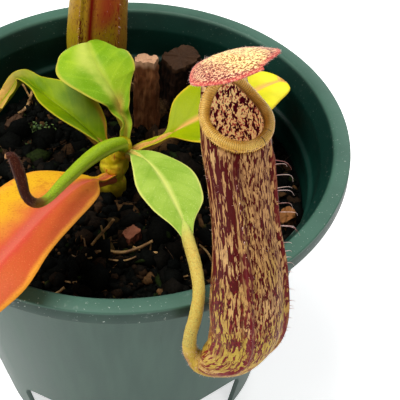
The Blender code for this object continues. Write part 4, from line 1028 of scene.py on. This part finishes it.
LEAF_PAINT = {
    "leaf_front": leaf_finish("leaf_front_green", tint(156, 182, 72), tint(126, 160, 46),
                              tint(204, 206, 112), tint(212, 212, 112), tint(200, 168, 78),
                              tint(228, 230, 176), rough=0.5, rib_share=0.75, stop=0.545),
    "leaf_upper": leaf_finish("leaf_upper_green", tint(114, 156, 22), tint(154, 184, 38),
                              tint(190, 194, 78), tint(190, 178, 64), tint(192, 172, 60),
                              tint(200, 218, 116), rough=0.42, rib_share=0.35, stop=0.73,
                              blush=upper_blush),
    "leaf_left": leaf_finish("leaf_left_green", tint(92, 124, 2), tint(128, 152, 4),
                             tint(150, 160, 18), tint(186, 172, 40), tint(190, 140, 66),
                             tint(150, 174, 24), blush=left_blush, rib_share=0.25, stop=0.73),
    "leaf_right": leaf_finish("leaf_right_yellow", tint(146, 160, 2), tint(122, 142, 2),
                              tint(228, 168, 96), tint(206, 176, 44), tint(196, 140, 70),
                              tint(190, 192, 50), tip=tint(252, 236, 36), rib_share=0.8, stop=0.95),
    "leaf_old": leaf_finish("leaf_old_orange", tint(208, 124, 48), tint(200, 98, 46),
                            tint(206, 112, 92), tint(206, 132, 40), tint(190, 92, 50),
                            tint(232, 160, 96), blush=old_blush, rough=0.42, rib_share=0.5,
                            stop=0.9),
}


def gentle(share, s):
    """Faint waves along the blade's edge."""
    return 0.016 * np.sin(23 * share + 2 * np.sign(s)) * np.abs(s) ** 2


def clipped(share, s):
    """Faint waves, and the left edge cut back before the tip."""
    return gentle(share, s) - 0.30 * bell((share - 0.87) / 0.07) * (s < 0) * np.abs(s)


# %% Build the leaves
LEAVES = {                     # table, where the blade starts, its edge, hairs on the tendril
    "leaf_front": (LEAF_FRONT, 0.15, gentle, 520), "leaf_upper": (LEAF_UPPER, 0.15, clipped, 60),
    "leaf_left": (LEAF_LEFT, 0.15, gentle, 60), "leaf_right": (LEAF_RIGHT, 0.15, gentle, 40),
    "leaf_old": (LEAF_OLD, 0.15, gentle, 60),
}
LEAF_SLOT = {"leaf_right": "yellow_leaf", "leaf_old": "old_leaf"}
for name, (rows, start, edge, fuzz) in LEAVES.items():
    blade_stop = max(i for i, row in enumerate(rows) if row[4] > 0)
    leaf = Shape()
    skin, marks = blade_skin(rows, start, blade_stop, waves=edge)
    leaf.rings(skin, marks)
    rib, rib_marks = rib_skin(rows, len(rows) - 1)
    leaf.rings(rib, rib_marks)
    down = Shape()
    surface_hairs(down, rib, fuzz, 0.55, 0.035, len(name), rows=(0.4, 0.98))
    leaf.build(name + "_blade", LEAF_PAINT[name], LEAF_SLOT.get(name, "young_leaf"), name)
    down.build(name + "_down", fibre_finish.material, "dry_straw")

# %% [markdown]
# ### Stem and new shoot
# The stem is short and hidden in the clasping bases of its leaves, which swell it into knobs. The
# newest leaf is still rolled tight: a green rod with one seam, turning brown towards a hooked
# tip that will become its tendril, and downy all over.

# %% Stem
stem_finish = Finish("stem_green", 0.45, Specular_IOR_Level=0.10)
height_wire = stem_finish.node("ShaderNodeSeparateXYZ", {"output": "Z"}, stem_finish.place)
patch = stem_finish.noise(stem_finish.place, 420.0, 3.0)
stripe = stem_finish.noise(stem_finish.stretch(stem_finish.place, 1600.0, 1600.0, 200.0), 1.0, 2.0)
stem_tone = stem_finish.mix(tint(172, 156, 14), tint(216, 196, 44), patch.rise(0.4, 0.62))
stem_tone = stem_finish.mix(stem_tone, tint(190, 116, 40), (patch * 0.6 + stripe * 0.6).rise(0.66, 0.8))
stem_tone = stem_finish.mix(stem_tone, tint(116, 98, 14), height_wire.rise(0.074, 0.068))
stem_finish.wear(stem_tone, 0.4 + stripe * 0.2, stripe, 0.1)
stem = Shape()
places = np.linspace(0.0, len(STEM) - 1, 150)
data, line = between(STEM, places), centres(STEM, places)
turn = turns(48)
past_seam = np.mod(turn - 1.9 * places[:, None] + np.pi, 2 * np.pi) - np.pi
seam = 1.0 - 0.05 * bell(past_seam / 0.3)
collars = 1.0 + 0.035 * np.abs(np.sin(np.pi * places))[:, None] ** 8
stem.rings(round_tube(line, data[:, 3:4] * MM * seam * collars, 48, (1, 0, 0)), 0.0)
stem.build("stem_sheaths", stem_finish.material, "stem_green", "stem")

# %% New shoot
shoot_finish = Finish("new_shoot", 0.42, Specular_IOR_Level=0.10)
along, around = shoot_finish.mark("marks", 0), shoot_finish.mark("marks", 1)
patch = shoot_finish.noise(shoot_finish.place, 300.0, 3.0)
speck = shoot_finish.noise(shoot_finish.place, 3200.0, 2.0, 0.6)
shoot_tone = shoot_finish.mix(tint(124, 152, 14), tint(150, 176, 26), speck.rise(0.36, 0.64))
# a pale stripe along the seam: painted highlight along that edge of the rod
shoot_tone = shoot_finish.mix(shoot_tone, tint(192, 200, 80), around.ridge(0.5, 0.16) * 0.7)
browned = (along + (patch - 0.5) * 0.12).rise(0.50, 0.60)
shoot_tone = shoot_finish.mix(shoot_tone, tint(116, 84, 18), browned)
shoot_tone = shoot_finish.mix(shoot_tone, tint(52, 18, 6), (along + (patch - 0.5) * 0.1).rise(0.58, 0.66))
shoot_tone = shoot_finish.mix(shoot_tone, tint(190, 140, 92), along.rise(0.972, 0.992))
shoot_tone = shoot_finish.mix(shoot_tone, tint(120, 56, 30), speck.rise(0.60, 0.70) * browned * 0.7)
shoot_finish.wear(shoot_tone, 0.4 + patch * 0.15, speck, 0.06)
places = np.linspace(0.0, len(NEW_SHOOT) - 1, 240)
data, line = between(NEW_SHOOT, places), centres(NEW_SHOOT, places)
turn = np.linspace(-1.0, 1.0, 40, endpoint=False)[None, :]
groove = 1.0 - 0.16 * bell((turn - 0.5) / 0.05) * (places < 6.2)[:, None]
swell = 1.0 + 0.012 * np.sin(3.1 * places)[:, None]
shoot_skin = round_tube(line, data[:, 3:4] * MM * groove * swell, 40, (0, 0, 1))
shoot = Shape()
shoot.rings(shoot_skin, spread((places / places[-1])[:, None], turn, 0.0))
shoot.build("new_shoot_rolled", shoot_finish.material, "shoot_green", "new_shoot")
down_finish = Finish("pale_down", 0.6)
down_finish.wear(down_finish.mix(tint(104, 54, 34), tint(178, 122, 84),
                                 down_finish.noise(down_finish.place, 700.0)))
down = Shape()
surface_hairs(down, shoot_skin, 700, 0.5, 0.024, 77, rows=(0.35, 0.99))
down.build("new_shoot_down", down_finish.material, "dry_straw")

# %% [markdown]
# ## The pitchers
# The trap is a leaf tip grown into a tube. It hangs from its tendril, bends up at the bottom,
# swells, and narrows to a slanting mouth. Two wings run down its front with a fringe of curling
# hairs. One skin makes it all: rings up the outside, over the rim, and down the inside. The top
# ring isn't level: for each direction round the tube, the row where it meets the slanting
# surface of the mouth is found first, and the rings are spaced up to it.

# %% Tables of the pitchers
# one row for each station of a pitcher: x, y, z, outer radius
PITCHER_FRONT = [
    (12.1, -60.6, 79.9, 1.5), (12.3, -60.9, 78.3, 1.6), (13.1, -61.3, 76.8, 1.9),
    (14.7, -62.1, 75.9, 2.8), (17.4, -62.6, 77.2, 4.0), (21.0, -63.2, 81.8, 5.9),
    (23.0, -63.4, 89.5, 7.2), (22.9, -63.4, 98.0, 7.5), (22.3, -62.5, 109.0, 6.8),
    (21.1, -61.1, 118.5, 6.0), (19.9, -59.8, 128.0, 5.9), (18.8, -58.7, 136.0, 6.0),
    (18.2, -57.3, 145.6, 5.8),
]
PITCHER_BACK = [
    (-9.3, 30.7, 73.6, 1.3), (-9.2, 31.3, 72.2, 1.5), (-8.7, 32.6, 71.2, 2.1),
    (-7.9, 34.6, 71.4, 3.6), (-7.2, 36.2, 74.4, 5.8), (-7.0, 36.8, 79.6, 7.6),
    (-6.7, 37.0, 87.0, 8.3), (-6.0, 36.7, 96.0, 8.0), (-4.9, 36.4, 106.1, 7.6),
    (-4.1, 36.6, 116.0, 7.2), (-3.4, 36.8, 126.0, 6.9), (-3.0, 37.2, 134.0, 6.9),
    (-2.6, 37.8, 144.0, 7.0),
]
WALL_THICK, CAVITY_DEPTH, FIN_DEPTH = 0.8, 6.9, 7.5
MOUTH_BACK, MOUTH_TILT, NECK_RISE = 0.62, math.radians(22.0), 3.0
COLLAR_TUBE, COLLAR_GAP, RIM_INSET = 0.88, 0.3, 0.55
FIN_SPREAD = {-1: math.radians(29.0), 1: math.radians(43.0)}
FIN_SWING = {-1: math.radians(-1.3), 1: math.radians(1.5)}
FIN_HEIGHT = 0.85
OUTER_ROWS = 190               # rings up the outside of a pitcher


class Mouth:
    """The slanting frame of a pitcher's mouth, and how its back runs up to the lid."""

    def __init__(self, rows, front_degrees):
        self.front = math.radians(front_degrees)
        last = len(rows) - 1
        self.facing = np.array((math.sin(self.front), -math.cos(self.front), 0.0))
        self.middle = centres(rows, last - MOUTH_BACK)
        axis = headings(rows, last - MOUTH_BACK)
        self.side = unit(np.cross(axis, self.facing))
        forward = unit(np.cross(self.side, axis))
        self.normal = unit(axis * math.cos(MOUTH_TILT) + forward * math.sin(MOUTH_TILT))
        self.slope = unit(np.cross(self.side, self.normal))
        self.across = between(rows, last - MOUTH_BACK)[3] - RIM_INSET
        self.along = self.across / math.cos(MOUTH_TILT)

    def lift(self, down):
        """Height of the edge over the mouth's plane: it rises as a cube towards the back."""
        return NECK_RISE * np.maximum(0.0, -down / self.along) ** 3

    def crest(self, down):
        """Height of the collar's middle line over the mouth's plane: just above the edge."""
        steep = 3.0 * NECK_RISE / self.along * np.maximum(0.0, -down / self.along) ** 2
        return self.lift(down) + (COLLAR_TUBE + COLLAR_GAP) * np.hypot(1.0, steep)

    def ring(self, angle):
        """Middle line of the collar, an ellipse seen along the mouth's normal."""
        down = self.along * np.sin(angle)
        return self.middle + (np.outer(np.cos(angle) * self.across, self.side)
                              + np.outer(down, self.slope)
                              + np.outer(self.crest(down), self.normal)) * MM


def wing_angle(rows, places, mark):
    """How far round from the front a wing stands, for each row; it swings out lower down."""
    return mark * (FIN_SPREAD[mark] + FIN_SWING[mark] * (len(rows) - 2.5 - places))


def tube_point(rows, mouth, places, angle, inset):
    """Point of the tube at a row and a direction round it, inset mm inside the outer skin."""
    data = between(rows, places)
    ahead = headings(rows, places)
    first, second = crossways(ahead, mouth.facing)
    radius = data[..., 3] - inset
    return (centres(rows, places) + (radius * MM)[..., None]
            * (np.cos(angle)[..., None] * first + np.sin(angle)[..., None] * second))


def wing_lift(rows, places, angle):
    """Height of the two wings over the tube, in mm: narrow ridges that fade at both ends."""
    last = len(rows) - 1
    fade = np.clip((places - (last - FIN_DEPTH)) / 1.2, 0, 1)
    fade = fade * np.clip((last - 0.75 - places) / 0.5, 0, 1)
    radius = between(rows, places)[..., 3]
    height = 0.0
    for mark in (-1, 1):
        away = (angle - wing_angle(rows, places, mark)) * radius / 0.42
        height = height + FIN_HEIGHT * bell(away) * fade
    return height


def pitcher_body(rows, mouth, columns=216, inner_rows=80):
    """All rings of the body's skin, with its marks and the flow that its paint follows.

    One more station is added above the table, so that the wall reaches the mouth's high back.
    """
    last = len(rows) - 1
    table, rows = rows, list(rows) + [2 * np.array(rows[-1]) - np.array(rows[-2])]
    angle = np.linspace(-np.pi, np.pi, columns, endpoint=False)
    probe = np.linspace(last - 3.0, last + 0.9, 500)
    grid = tube_point(rows, mouth, probe[:, None], angle, 0.0)
    off = (grid - mouth.middle) / MM
    crest = mouth.crest(np.maximum(off @ mouth.slope, -mouth.along))
    above = off @ mouth.normal - crest + COLLAR_TUBE + COLLAR_GAP
    top = probe[np.where((above > 0).any(0), np.argmax(above > 0, axis=0), -1)]
    v = np.linspace(0.0, 1.0, OUTER_ROWS)[:, None]
    outer = v * top
    swell = 0.035 * waviness(spread(4 * np.cos(angle), 4 * np.sin(angle), 0.1 * outer) * MM,
                             1.6, 8) * np.clip(outer / 3.0, 0, 1)
    skin_out = tube_point(rows, mouth, outer, angle, -wing_lift(table, outer, angle) - swell)
    w = np.linspace(1.0, 0.0, inner_rows)[:, None]
    floor_row = last - CAVITY_DEPTH
    inner = floor_row + w * (top - floor_row)
    closing = 1.0 - np.clip(1.0 - w / 0.10, 0.0, 0.97) ** 2.2
    thick = between(rows, inner)[..., 3]
    inset = thick - (thick - WALL_THICK) * np.sqrt(np.clip(closing, 0.0, 1.0))
    skin_in = tube_point(rows, mouth, inner, angle, inset)
    ahead = headings(rows, np.zeros(1))
    lead = skin_out[:1] - ahead[:, None] * 0.7 * MM
    skin = np.concatenate([lead, skin_out, skin_in])
    steps = np.linspace(0, last + 1, 400)
    all_rows = np.concatenate([outer[:1], outer, inner])
    arc = np.interp(all_rows, steps, lengths(centres(rows, steps)))
    layer = np.concatenate([np.zeros(OUTER_ROWS + 1), np.ones(inner_rows)])[:, None]
    marks = spread(angle, all_rows / last, layer)
    flow = spread(6.5 * np.cos(angle), 6.5 * np.sin(angle), arc)
    return skin, marks, flow


# %% [markdown]
# ### Skin of the traps
# Blotches and dashes of dark red are drawn out along the tube, because the skin stretched as the
# trap grew. The noise for them runs on the flow marks, which are distances round and along the
# tube, shortened along it. Big blotches lie beside the wings, fine dashes between them. Inside,
# the blotches are rounder and the ground is cream, and the inner wall glows with a painted light.


# %% Pitcher skin
def wing_stripe(angle, along, rows_count, mark, half):
    """1 on a stripe that follows one wing, half radians wide at either side."""
    last = rows_count - 1
    row = along * last
    swing = (row * -1.0 + (rows_count - 2.5)) * (FIN_SWING[mark] * mark) + mark * FIN_SPREAD[mark]
    return (angle - swing).size().rise(half, half * 0.25)


def skin_finish(name, rows_count, low, high, pale, blotch_share, dash_share, stripe_half,
                band=0.0):
    """Ground colour, blotches, dashes, wing stripes, and the freckled inner wall with a painted glow."""
    # the emission strength drives the inner wall's painted glow, which stands in for light
    skin = Finish(name, 0.36, Specular_IOR_Level=0.04, Emission_Strength=0.34)
    angle, along, layer = (skin.mark("marks", k) for k in range(3))
    flow = skin.flow()
    patch = skin.noise(skin.stretch(flow, 0.16, 0.16, 0.07), 1.0, 2.0)
    fine = skin.noise(skin.stretch(flow, 2.6, 2.6, 1.0), 1.0, 2.0)
    ground = skin.mix(low, high, (along + (patch - 0.5) * 0.9).rise(0.42, 0.80))
    ground = skin.mix(ground, pale, patch.rise(0.52, 0.66) * 0.6)
    ground = skin.mix(ground, tint(134, 84, 56), fine.rise(0.52, 0.64) * along.rise(0.30, 0.7) * 0.6)
    left_side = angle.rise(-0.50, -0.72) * angle.rise(-2.9, -2.3)
    right_side = angle.rise(0.62, 0.95) * angle.rise(2.9, 2.3)
    high_up = along.rise(0.32, 0.60)
    big = skin.noise(skin.stretch(flow, 0.95, 0.95, 0.15), 1.0, 3.0, 0.58, 0.45)
    middle = skin.noise(skin.stretch(flow, 1.75, 1.75, 0.24), 1.0, 2.5, 0.55, 0.40)
    small = skin.noise(skin.stretch(flow, 3.0, 3.0, 0.55), 1.0, 2.0, 0.5, 0.40)
    blotch = big.rise(blotch_share, blotch_share + 0.012) * high_up * (left_side + 0.05).clip()
    streak = (middle + left_side * 0.03).rise(dash_share + 0.035, dash_share + 0.05) \
        * along.rise(0.17, 0.32)
    dash = (small + right_side * 0.03 - along.rise(0.45, 0.2) * 0.02).rise(dash_share, dash_share + 0.02) \
        * along.rise(0.19, 0.36) * (1 - left_side * 0.8)
    dark = skin.mix(tint(122, 24, 28), tint(78, 12, 12), (along + (fine - 0.5)).rise(0.35, 0.70))
    tone = skin.mix(ground, tint(140, 66, 46), right_side * 0.45)
    tone = skin.mix(tone, dark, dash)
    tone = skin.mix(tone, dark, streak * (0.45 + left_side * 0.55))
    tone = skin.mix(tone, dark, blotch)
    ragged = (middle - 0.5) * 0.85 + (small - 0.5) * 0.45
    left = wing_stripe(angle + ragged, along, rows_count, -1, stripe_half)
    right = wing_stripe(angle + ragged * 0.4, along, rows_count, 1, stripe_half * 0.4)
    broken = (along.rise(0.72, 0.50) + big.rise(0.46, 0.50)).clip()
    stripes = left * along.rise(0.18, 0.28) * broken
    tone = skin.mix(tone, skin.mix(tint(112, 18, 28), dark, along.rise(0.5, 0.9)), stripes.clip())
    tone = skin.mix(tone, tint(112, 30, 30), right * along.rise(0.24, 0.36) * 0.65)
    if band:
        red = angle.ridge(0.45, 0.85) * (along + (patch - 0.5) * 0.15).rise(0.55, 0.66) * band
        tone = skin.mix(tone, tint(178, 56, 40), red)
        tone = skin.mix(tone, tint(116, 16, 14), angle.ridge(-0.10, 0.20) * along.rise(0.48, 0.58))
    speck = skin.noise(skin.stretch(flow, 4.0, 4.0, 2.6), 1.0, 1.0)
    tone = skin.mix(tone, tint(120, 50, 30), speck.rise(0.55, 0.62) * along.rise(0.45, 0.22) * 0.75)
    tone = skin.mix(tone, tint(205, 176, 84), along.rise(0.14, 0.02) * 0.9)
    inside = skin.noise(skin.stretch(flow, 1.1, 1.1, 0.7), 1.0, 2.5, 0.6, 0.6)
    second = skin.noise(skin.stretch(flow, 2.6, 2.6, 1.7), 1.0, 1.5)
    cream = skin.mix(tint(242, 210, 146), tint(226, 160, 120), second.rise(0.45, 0.62))
    cream = skin.mix(cream, tint(150, 34, 44), second.rise(0.55, 0.59) * 0.9)
    cream = skin.mix(cream, tint(66, 4, 22), inside.rise(0.515, 0.53))
    tone = skin.mix(tone, cream, layer)
    skin.wear(tone, 0.36 + fine * 0.12, fine + small * 0.7, 0.06)
    # the inner wall glows with its own cream: painted light for light coming through the thin wall
    painted_glow = skin.mix(tint(0, 0, 0), cream, layer)
    skin.tree.links.new(painted_glow.socket, skin.shader.inputs["Emission Color"])
    return skin.material


front_skin = skin_finish("front_pitcher_skin", len(PITCHER_FRONT), tint(190, 162, 62),
                         tint(196, 148, 94), tint(216, 176, 116), 0.52, 0.51, 0.17)
back_skin = skin_finish("back_pitcher_skin", len(PITCHER_BACK), tint(180, 156, 24),
                        tint(190, 140, 44), tint(190, 156, 40), 0.68, 0.66, 0.06, band=0.9)

# %% [markdown]
# ### Collar and lid
# The collar is a rolled rim, slippery and finely ribbed across its width, with a tiny tooth at the
# end of every rib. Its cross-section is an oval carried round the mouth, and the ribs are a wave
# in its radius. The lid is a domed oval, creamy, freckled red-brown, with a rosy rim.


# %% Collar and lid surfaces
RIBS = 104                     # round each collar
LID_RINGS = 40                 # from the middle of a lid out to its rim


def collar_skin(mouth, columns=936, sides=18):
    """An oval section carried round the mouth, its radius waving once for each rib."""
    angle = turns(columns)[0]
    line = mouth.ring(angle)
    wrapped = np.vstack([line[-1:], line, line[:1]])
    ahead = unit(wrapped[2:] - wrapped[:-2])
    outward = unit(line - line.mean(0))
    outward = unit(outward - ahead * np.sum(outward * ahead, -1, keepdims=True))
    upward = np.cross(outward, ahead)
    upward *= np.sign(np.sum(upward * mouth.normal, -1, keepdims=True))
    turn = turns(sides)
    waviness_line = 1.0 + 0.03 * np.sin(3 * angle + 1.0) + 0.02 * np.sin(7 * angle)
    ribbed = 1.0 + 0.035 * np.cos(RIBS * angle)[:, None] * (0.6 + 0.4 * np.cos(turn))
    radius = COLLAR_TUBE * MM * waviness_line[:, None] * ribbed
    points = (line[:, None] + (radius * 1.10 * np.cos(turn))[..., None] * outward[:, None]
              + (radius * 0.92 * np.sin(turn))[..., None] * upward[:, None])
    points = points - (0.20 * MM * (np.cos(turn) > 0.5) * (np.cos(turn) - 0.5))[..., None] \
        * upward[:, None]
    return points, spread(angle[:, None], turn, 0.0), outward, upward


def lid_skin(mouth, columns=140):
    """Rings from the top's middle out to the rim, and back under it to the middle.

    Height over the lid's plane is -dome * r squared, with a keel along the middle and a rim
    that curls; the underside lies a thickness below.
    """
    turn = mouth.front + LID_TURN
    facing = np.array((math.sin(turn), -math.cos(turn), 0.0))
    up = np.array((0.0, 0.0, 1.0))
    heading = facing * math.cos(LID_RISE) + up * math.sin(LID_RISE)
    level = unit(np.cross(heading, up))
    across = level * math.cos(LID_ROLL) - np.cross(level, heading) * math.sin(LID_ROLL)
    over = unit(np.cross(across, heading))
    back = np.array([-np.pi / 2])
    foot = mouth.ring(back)[0] + mouth.normal * (COLLAR_TUBE + COLLAR_GAP) * MM
    hinge = foot - facing * HINGE_BACK * MM + up * HINGE_RISE * MM
    centre = hinge + (heading * (LID_LONG - LID_BACK) + across * LID_SHIFT + over * LID_DOME) * MM
    r = np.sin(np.linspace(0.02, 1.0, LID_RINGS) * np.pi / 2)[:, None]
    theta = turns(columns)
    point_out = 1.0 + 0.045 * np.cos(2 * theta) * r ** 3 - 0.02 * np.cos(3 * theta) * r ** 2
    bay = r * (1.0 - 0.16 * r * bell((theta - 5.88) / 0.50))
    p, q = bay * np.cos(theta) * point_out, bay * np.sin(theta) / point_out
    height = -LID_DOME * (p ** 2 + q ** 2) - LID_SIDE * q ** 2 + 0.30 * r ** 8
    height += 0.22 * bell(q / 0.10) * (1 - r ** 2)
    height += 0.10 * np.sin(5 * theta + 0.7) * r ** 5
    sheet = centre + ((LID_LONG * p)[..., None] * heading + (LID_WIDE * q)[..., None] * across
                      + height[..., None] * over) * MM
    half = 0.30 * np.sqrt(np.clip(1.0 - r ** 8, 0.0, 1.0)) + 0.03
    normal = unit(np.cross(np.gradient(sheet, axis=1), np.gradient(sheet, axis=0)))
    upper, lower = sheet + normal * half[..., None] * MM, sheet - normal * half[..., None] * MM
    skin = np.concatenate([upper, lower[::-1]])
    under = np.concatenate([np.zeros_like(r), np.ones_like(r)])
    marks = spread(np.concatenate([r, r[::-1]]), theta, under)
    return skin, marks, foot, hinge, heading, facing, across, up


LID_LONG, LID_WIDE, LID_DOME, LID_SIDE = 7.8, 7.3, 1.3, 0.5
LID_BACK, LID_SHIFT, HINGE_BACK, HINGE_RISE = 2.6, 1.5, 0.4, 2.7
LID_RISE, LID_TURN, LID_ROLL = math.radians(26.5), math.radians(7.0), math.radians(4.0)

# %% Collar and lid finishes
gold = Finish("collar_gold", 0.26, Specular_IOR_Level=0.2, Coat_Weight=0.08,
              Coat_Roughness=0.15)
turn_mark, round_mark = gold.mark("marks", 0), gold.mark("marks", 1)
tone_noise = gold.noise(gold.place, 330.0, 3.0)
rib_wave = (turn_mark * RIBS).math("COSINE", turn_mark * RIBS)
collar_tone = gold.mix(tint(204, 152, 52), tint(234, 190, 92), tone_noise.rise(0.38, 0.64))
# darker in the groove between each pair of ribs: painted shade
collar_tone = gold.mix(collar_tone, tint(150, 96, 36), (rib_wave * -1.0).rise(0.35, 1.0) * 0.40)
inner_edge = round_mark.ridge(math.pi, 1.0)
collar_tone = gold.mix(collar_tone, tint(96, 46, 22), inner_edge * 0.65)
outer_edge = (round_mark - math.pi).size().rise(2.3, 2.9)
dots = gold.noise(gold.place, 1500.0, 1.0).rise(0.55, 0.66)
collar_tone = gold.mix(collar_tone, tint(116, 50, 30), outer_edge * dots * 0.8)
cracks = (turn_mark.ridge(1.24, 0.035) + turn_mark.ridge(0.86, 0.03)) \
    * gold.noise(gold.place, 900.0, 2.0).rise(0.42, 0.56)
# a paler band along the top of the rolled tube: painted highlight
collar_tone = gold.mix(collar_tone, tint(248, 214, 122), round_mark.ridge(1.25, 0.8) * 0.45)
collar_tone = gold.mix(collar_tone, tint(40, 14, 16), cracks.clip() * 0.9)
gold.wear(collar_tone, 0.28, rib_wave * 0.6 + tone_noise, 0.06)

lid_finish = Finish("lid_cream", 0.45, Specular_IOR_Level=0.08)
rim_mark, under_mark = lid_finish.mark("marks", 0), lid_finish.mark("marks", 2)
cloud = lid_finish.noise(lid_finish.place, 260.0, 3.0)
mottle = lid_finish.noise(lid_finish.place, 800.0, 3.0, 0.6)
freckle = lid_finish.noise(lid_finish.place, 2900.0, 1.5, 0.6, 0.3)
aside = rim_mark * lid_finish.mark("marks", 1).wave()
left_part = (aside + (mottle - 0.5) * 0.6).rise(0.15, 0.60)
right_part = (aside * -1.0 + (mottle - 0.5) * 0.6).rise(0.35, 0.85)
outer_part = (rim_mark + (cloud - 0.5) * 0.5).rise(0.68, 0.95)
rosy = (left_part * 0.9 + right_part * 0.9 + outer_part * 0.8).clip()
lid_tone = lid_finish.mix(tint(250, 212, 140), tint(202, 126, 102), rosy)
lid_tone = lid_finish.mix(lid_tone, tint(255, 236, 180), freckle.rise(0.46, 0.38) * 0.6)
dark_dot = lid_finish.mix(tint(150, 86, 48), tint(104, 40, 44), rosy)
dotted = (freckle + rosy * 0.025 + (mottle - 0.5) * 0.1).rise(0.525, 0.55)
lid_tone = lid_finish.mix(lid_tone, dark_dot, dotted)
lid_tone = lid_finish.mix(lid_tone, tint(214, 84, 78), rim_mark.rise(0.84, 0.99) * 0.6)
lid_tone = lid_finish.mix(lid_tone, tint(190, 104, 80), under_mark * 0.6)
lid_finish.wear(lid_tone, 0.4 + mottle * 0.15, mottle + freckle * 0.5, 0.10)

fringe_finish = Finish("fringe_hair", 0.4)
fringe_finish.wear(fringe_finish.mix(tint(176, 96, 90), tint(246, 216, 206),
                                     fringe_finish.noise(fringe_finish.place, 500.0).rise(0.35, 0.6)))


# %% Build both pitchers
def fringe(shape, rows, mouth, mark, first, last_row, count, length, seed):
    """Curling hairs along a wing: each leaves its crest outwards and hooks over at the end."""
    draw = np.random.default_rng(seed)
    places = np.linspace(first, last_row, count) + draw.uniform(-0.12, 0.12, count)
    angle = wing_angle(rows, places, mark)
    crest = tube_point(rows, mouth, places, angle, -wing_lift(rows, places, angle))
    outward = unit(crest - centres(rows, places))
    ahead = headings(rows, places)
    sideways = np.cross(ahead, outward)
    aims = (outward + sideways * mark * draw.uniform(0.0, 0.4, (count, 1))
            + ahead * draw.uniform(-0.1, 0.3, (count, 1)))
    bends = ahead * draw.uniform(-0.6, -0.2, (count, 1)) - outward * draw.uniform(0.0, 0.3, (count, 1))
    stations = (first, first + 2.6, last_row - 1.4, last_row)
    reach = length * draw.uniform(0.65, 1.0, count) * np.interp(places, stations, (0.15, 0.35, 1.0, 0.7))
    hairs(shape, crest - outward * 0.1 * MM, aims, bends, reach, 0.11, steps=10, hook=5)


PITCHERS = [                   # name, table, front in degrees, skin, lengths of the fringe
    ("front", PITCHER_FRONT, 22.0, front_skin, (1.0, 5.0)),
    ("back", PITCHER_BACK, -10.0, back_skin, (2.4, 2.8)),
]
for name, rows, front_degrees, skin_material, (left_hair, right_hair) in PITCHERS:
    mouth = Mouth(rows, front_degrees)
    last = len(rows) - 1
    skin, marks, flow = pitcher_body(rows, mouth)
    body = Shape()
    body.rings(skin, marks, flow)
    body.build("pitcher_%s_trap" % name, skin_material, "pitcher_skin", "pitcher_%s_body" % name)

    fuzz = Shape()
    fringe(fuzz, rows, mouth, -1, last - 5.6, last - 1.4, 17, left_hair, 51)
    fringe(fuzz, rows, mouth, 1, last - 6.2, last - 1.3, 23, right_hair, 52)
    surface_hairs(fuzz, skin[:OUTER_ROWS], 700, 0.55, 0.03, 53, rows=(0.02, 0.97), lean=0.3)
    fuzz.build("pitcher_%s_fringe" % name, fringe_finish.material, "pitcher_lid")

    ring = Shape()
    points, marks, outward, upward = collar_skin(mouth)
    ring.loop(points, marks)
    step = points.shape[0] // RIBS
    picked = np.arange(RIBS) * step
    low_edge = points[picked, 0] - upward[picked] * 0.35 * MM
    hairs(ring, low_edge - outward[picked] * 0.10 * MM, outward[picked] - upward[picked] * 1.4,
          -outward[picked] * 0.4, 0.32, 0.075, steps=4, marks=(0.0, 0.2, 1.0))
    ring.build("pitcher_%s_rim" % name, gold.material, "pitcher_collar",
               "pitcher_%s_collar" % name)

    lid = Shape()
    skin, marks, foot, hinge, heading, facing, across, up = lid_skin(mouth)
    lid.rings(skin, marks)
    neck = np.array([foot, foot + up * 1.6 * MM, hinge + heading * 0.6 * MM,
                     hinge + heading * 3.2 * MM])
    t = np.linspace(0.0, 3.0, 30)
    neck_line = between(neck, t)
    lid.rings(round_tube(neck_line, np.interp(t, (0, 1, 2, 3), (1.3, 1.1, 1.0, 0.6)) * MM, 20,
                         (0, 1, 0)), (0.9, 0.0, 0.0))
    spur = np.array([foot + up * 1.0 * MM, foot + (across * 1.2 - facing * 1.6 + up * 1.2) * MM,
                     foot + (across * 2.4 - facing * 2.8 + up * 1.4) * MM])
    t = np.linspace(0.0, 2.0, 24)
    lid.rings(round_tube(between(spur, t), np.interp(t, (0, 1, 2), (0.6, 0.42, 0.2)) * MM, 14,
                         (0, 0, 1)), (0.95, 0.0, 0.0))
    lid.build("pitcher_%s_cap" % name, lid_finish.material, "pitcher_lid",
              "pitcher_%s_lid" % name)
    tuft = Shape()
    surface_hairs(tuft, skin[LID_RINGS - 6:LID_RINGS + 6], 260, 0.45, 0.03, 61, lean=0.4)
    surface_hairs(tuft, round_tube(between(spur, t), 0.3 * MM, 14, (0, 0, 1)), 60, 1.1, 0.035, 62,
                  rows=(0.2, 1.0))
    tuft.build("pitcher_%s_tuft" % name, fringe_finish.material, "pitcher_lid")

# %% [markdown]
# ## Floor and the end
# The floor is a broad pale sheet that glows a little, like paper lit from all sides.

# %% Floor
floor_mesh = bpy.data.meshes.new("floor")
floor_mesh.from_pydata([(-3, -3, 0), (3, -3, 0), (3, 3, 0), (-3, 3, 0)], [], [(0, 1, 2, 3)])
floor = bpy.data.objects.new("floor", floor_mesh)
bpy.context.scene.collection.objects.link(floor)
floor_finish = Finish("floor_pale", 0.9, Emission_Color=(1.0, 1.0, 1.0, 1.0), Emission_Strength=0.62)
floor_finish.wear(tint(250, 250, 250))
floor_mesh.materials.append(floor_finish.material)

# %% Update the scene
bpy.context.view_layer.update()
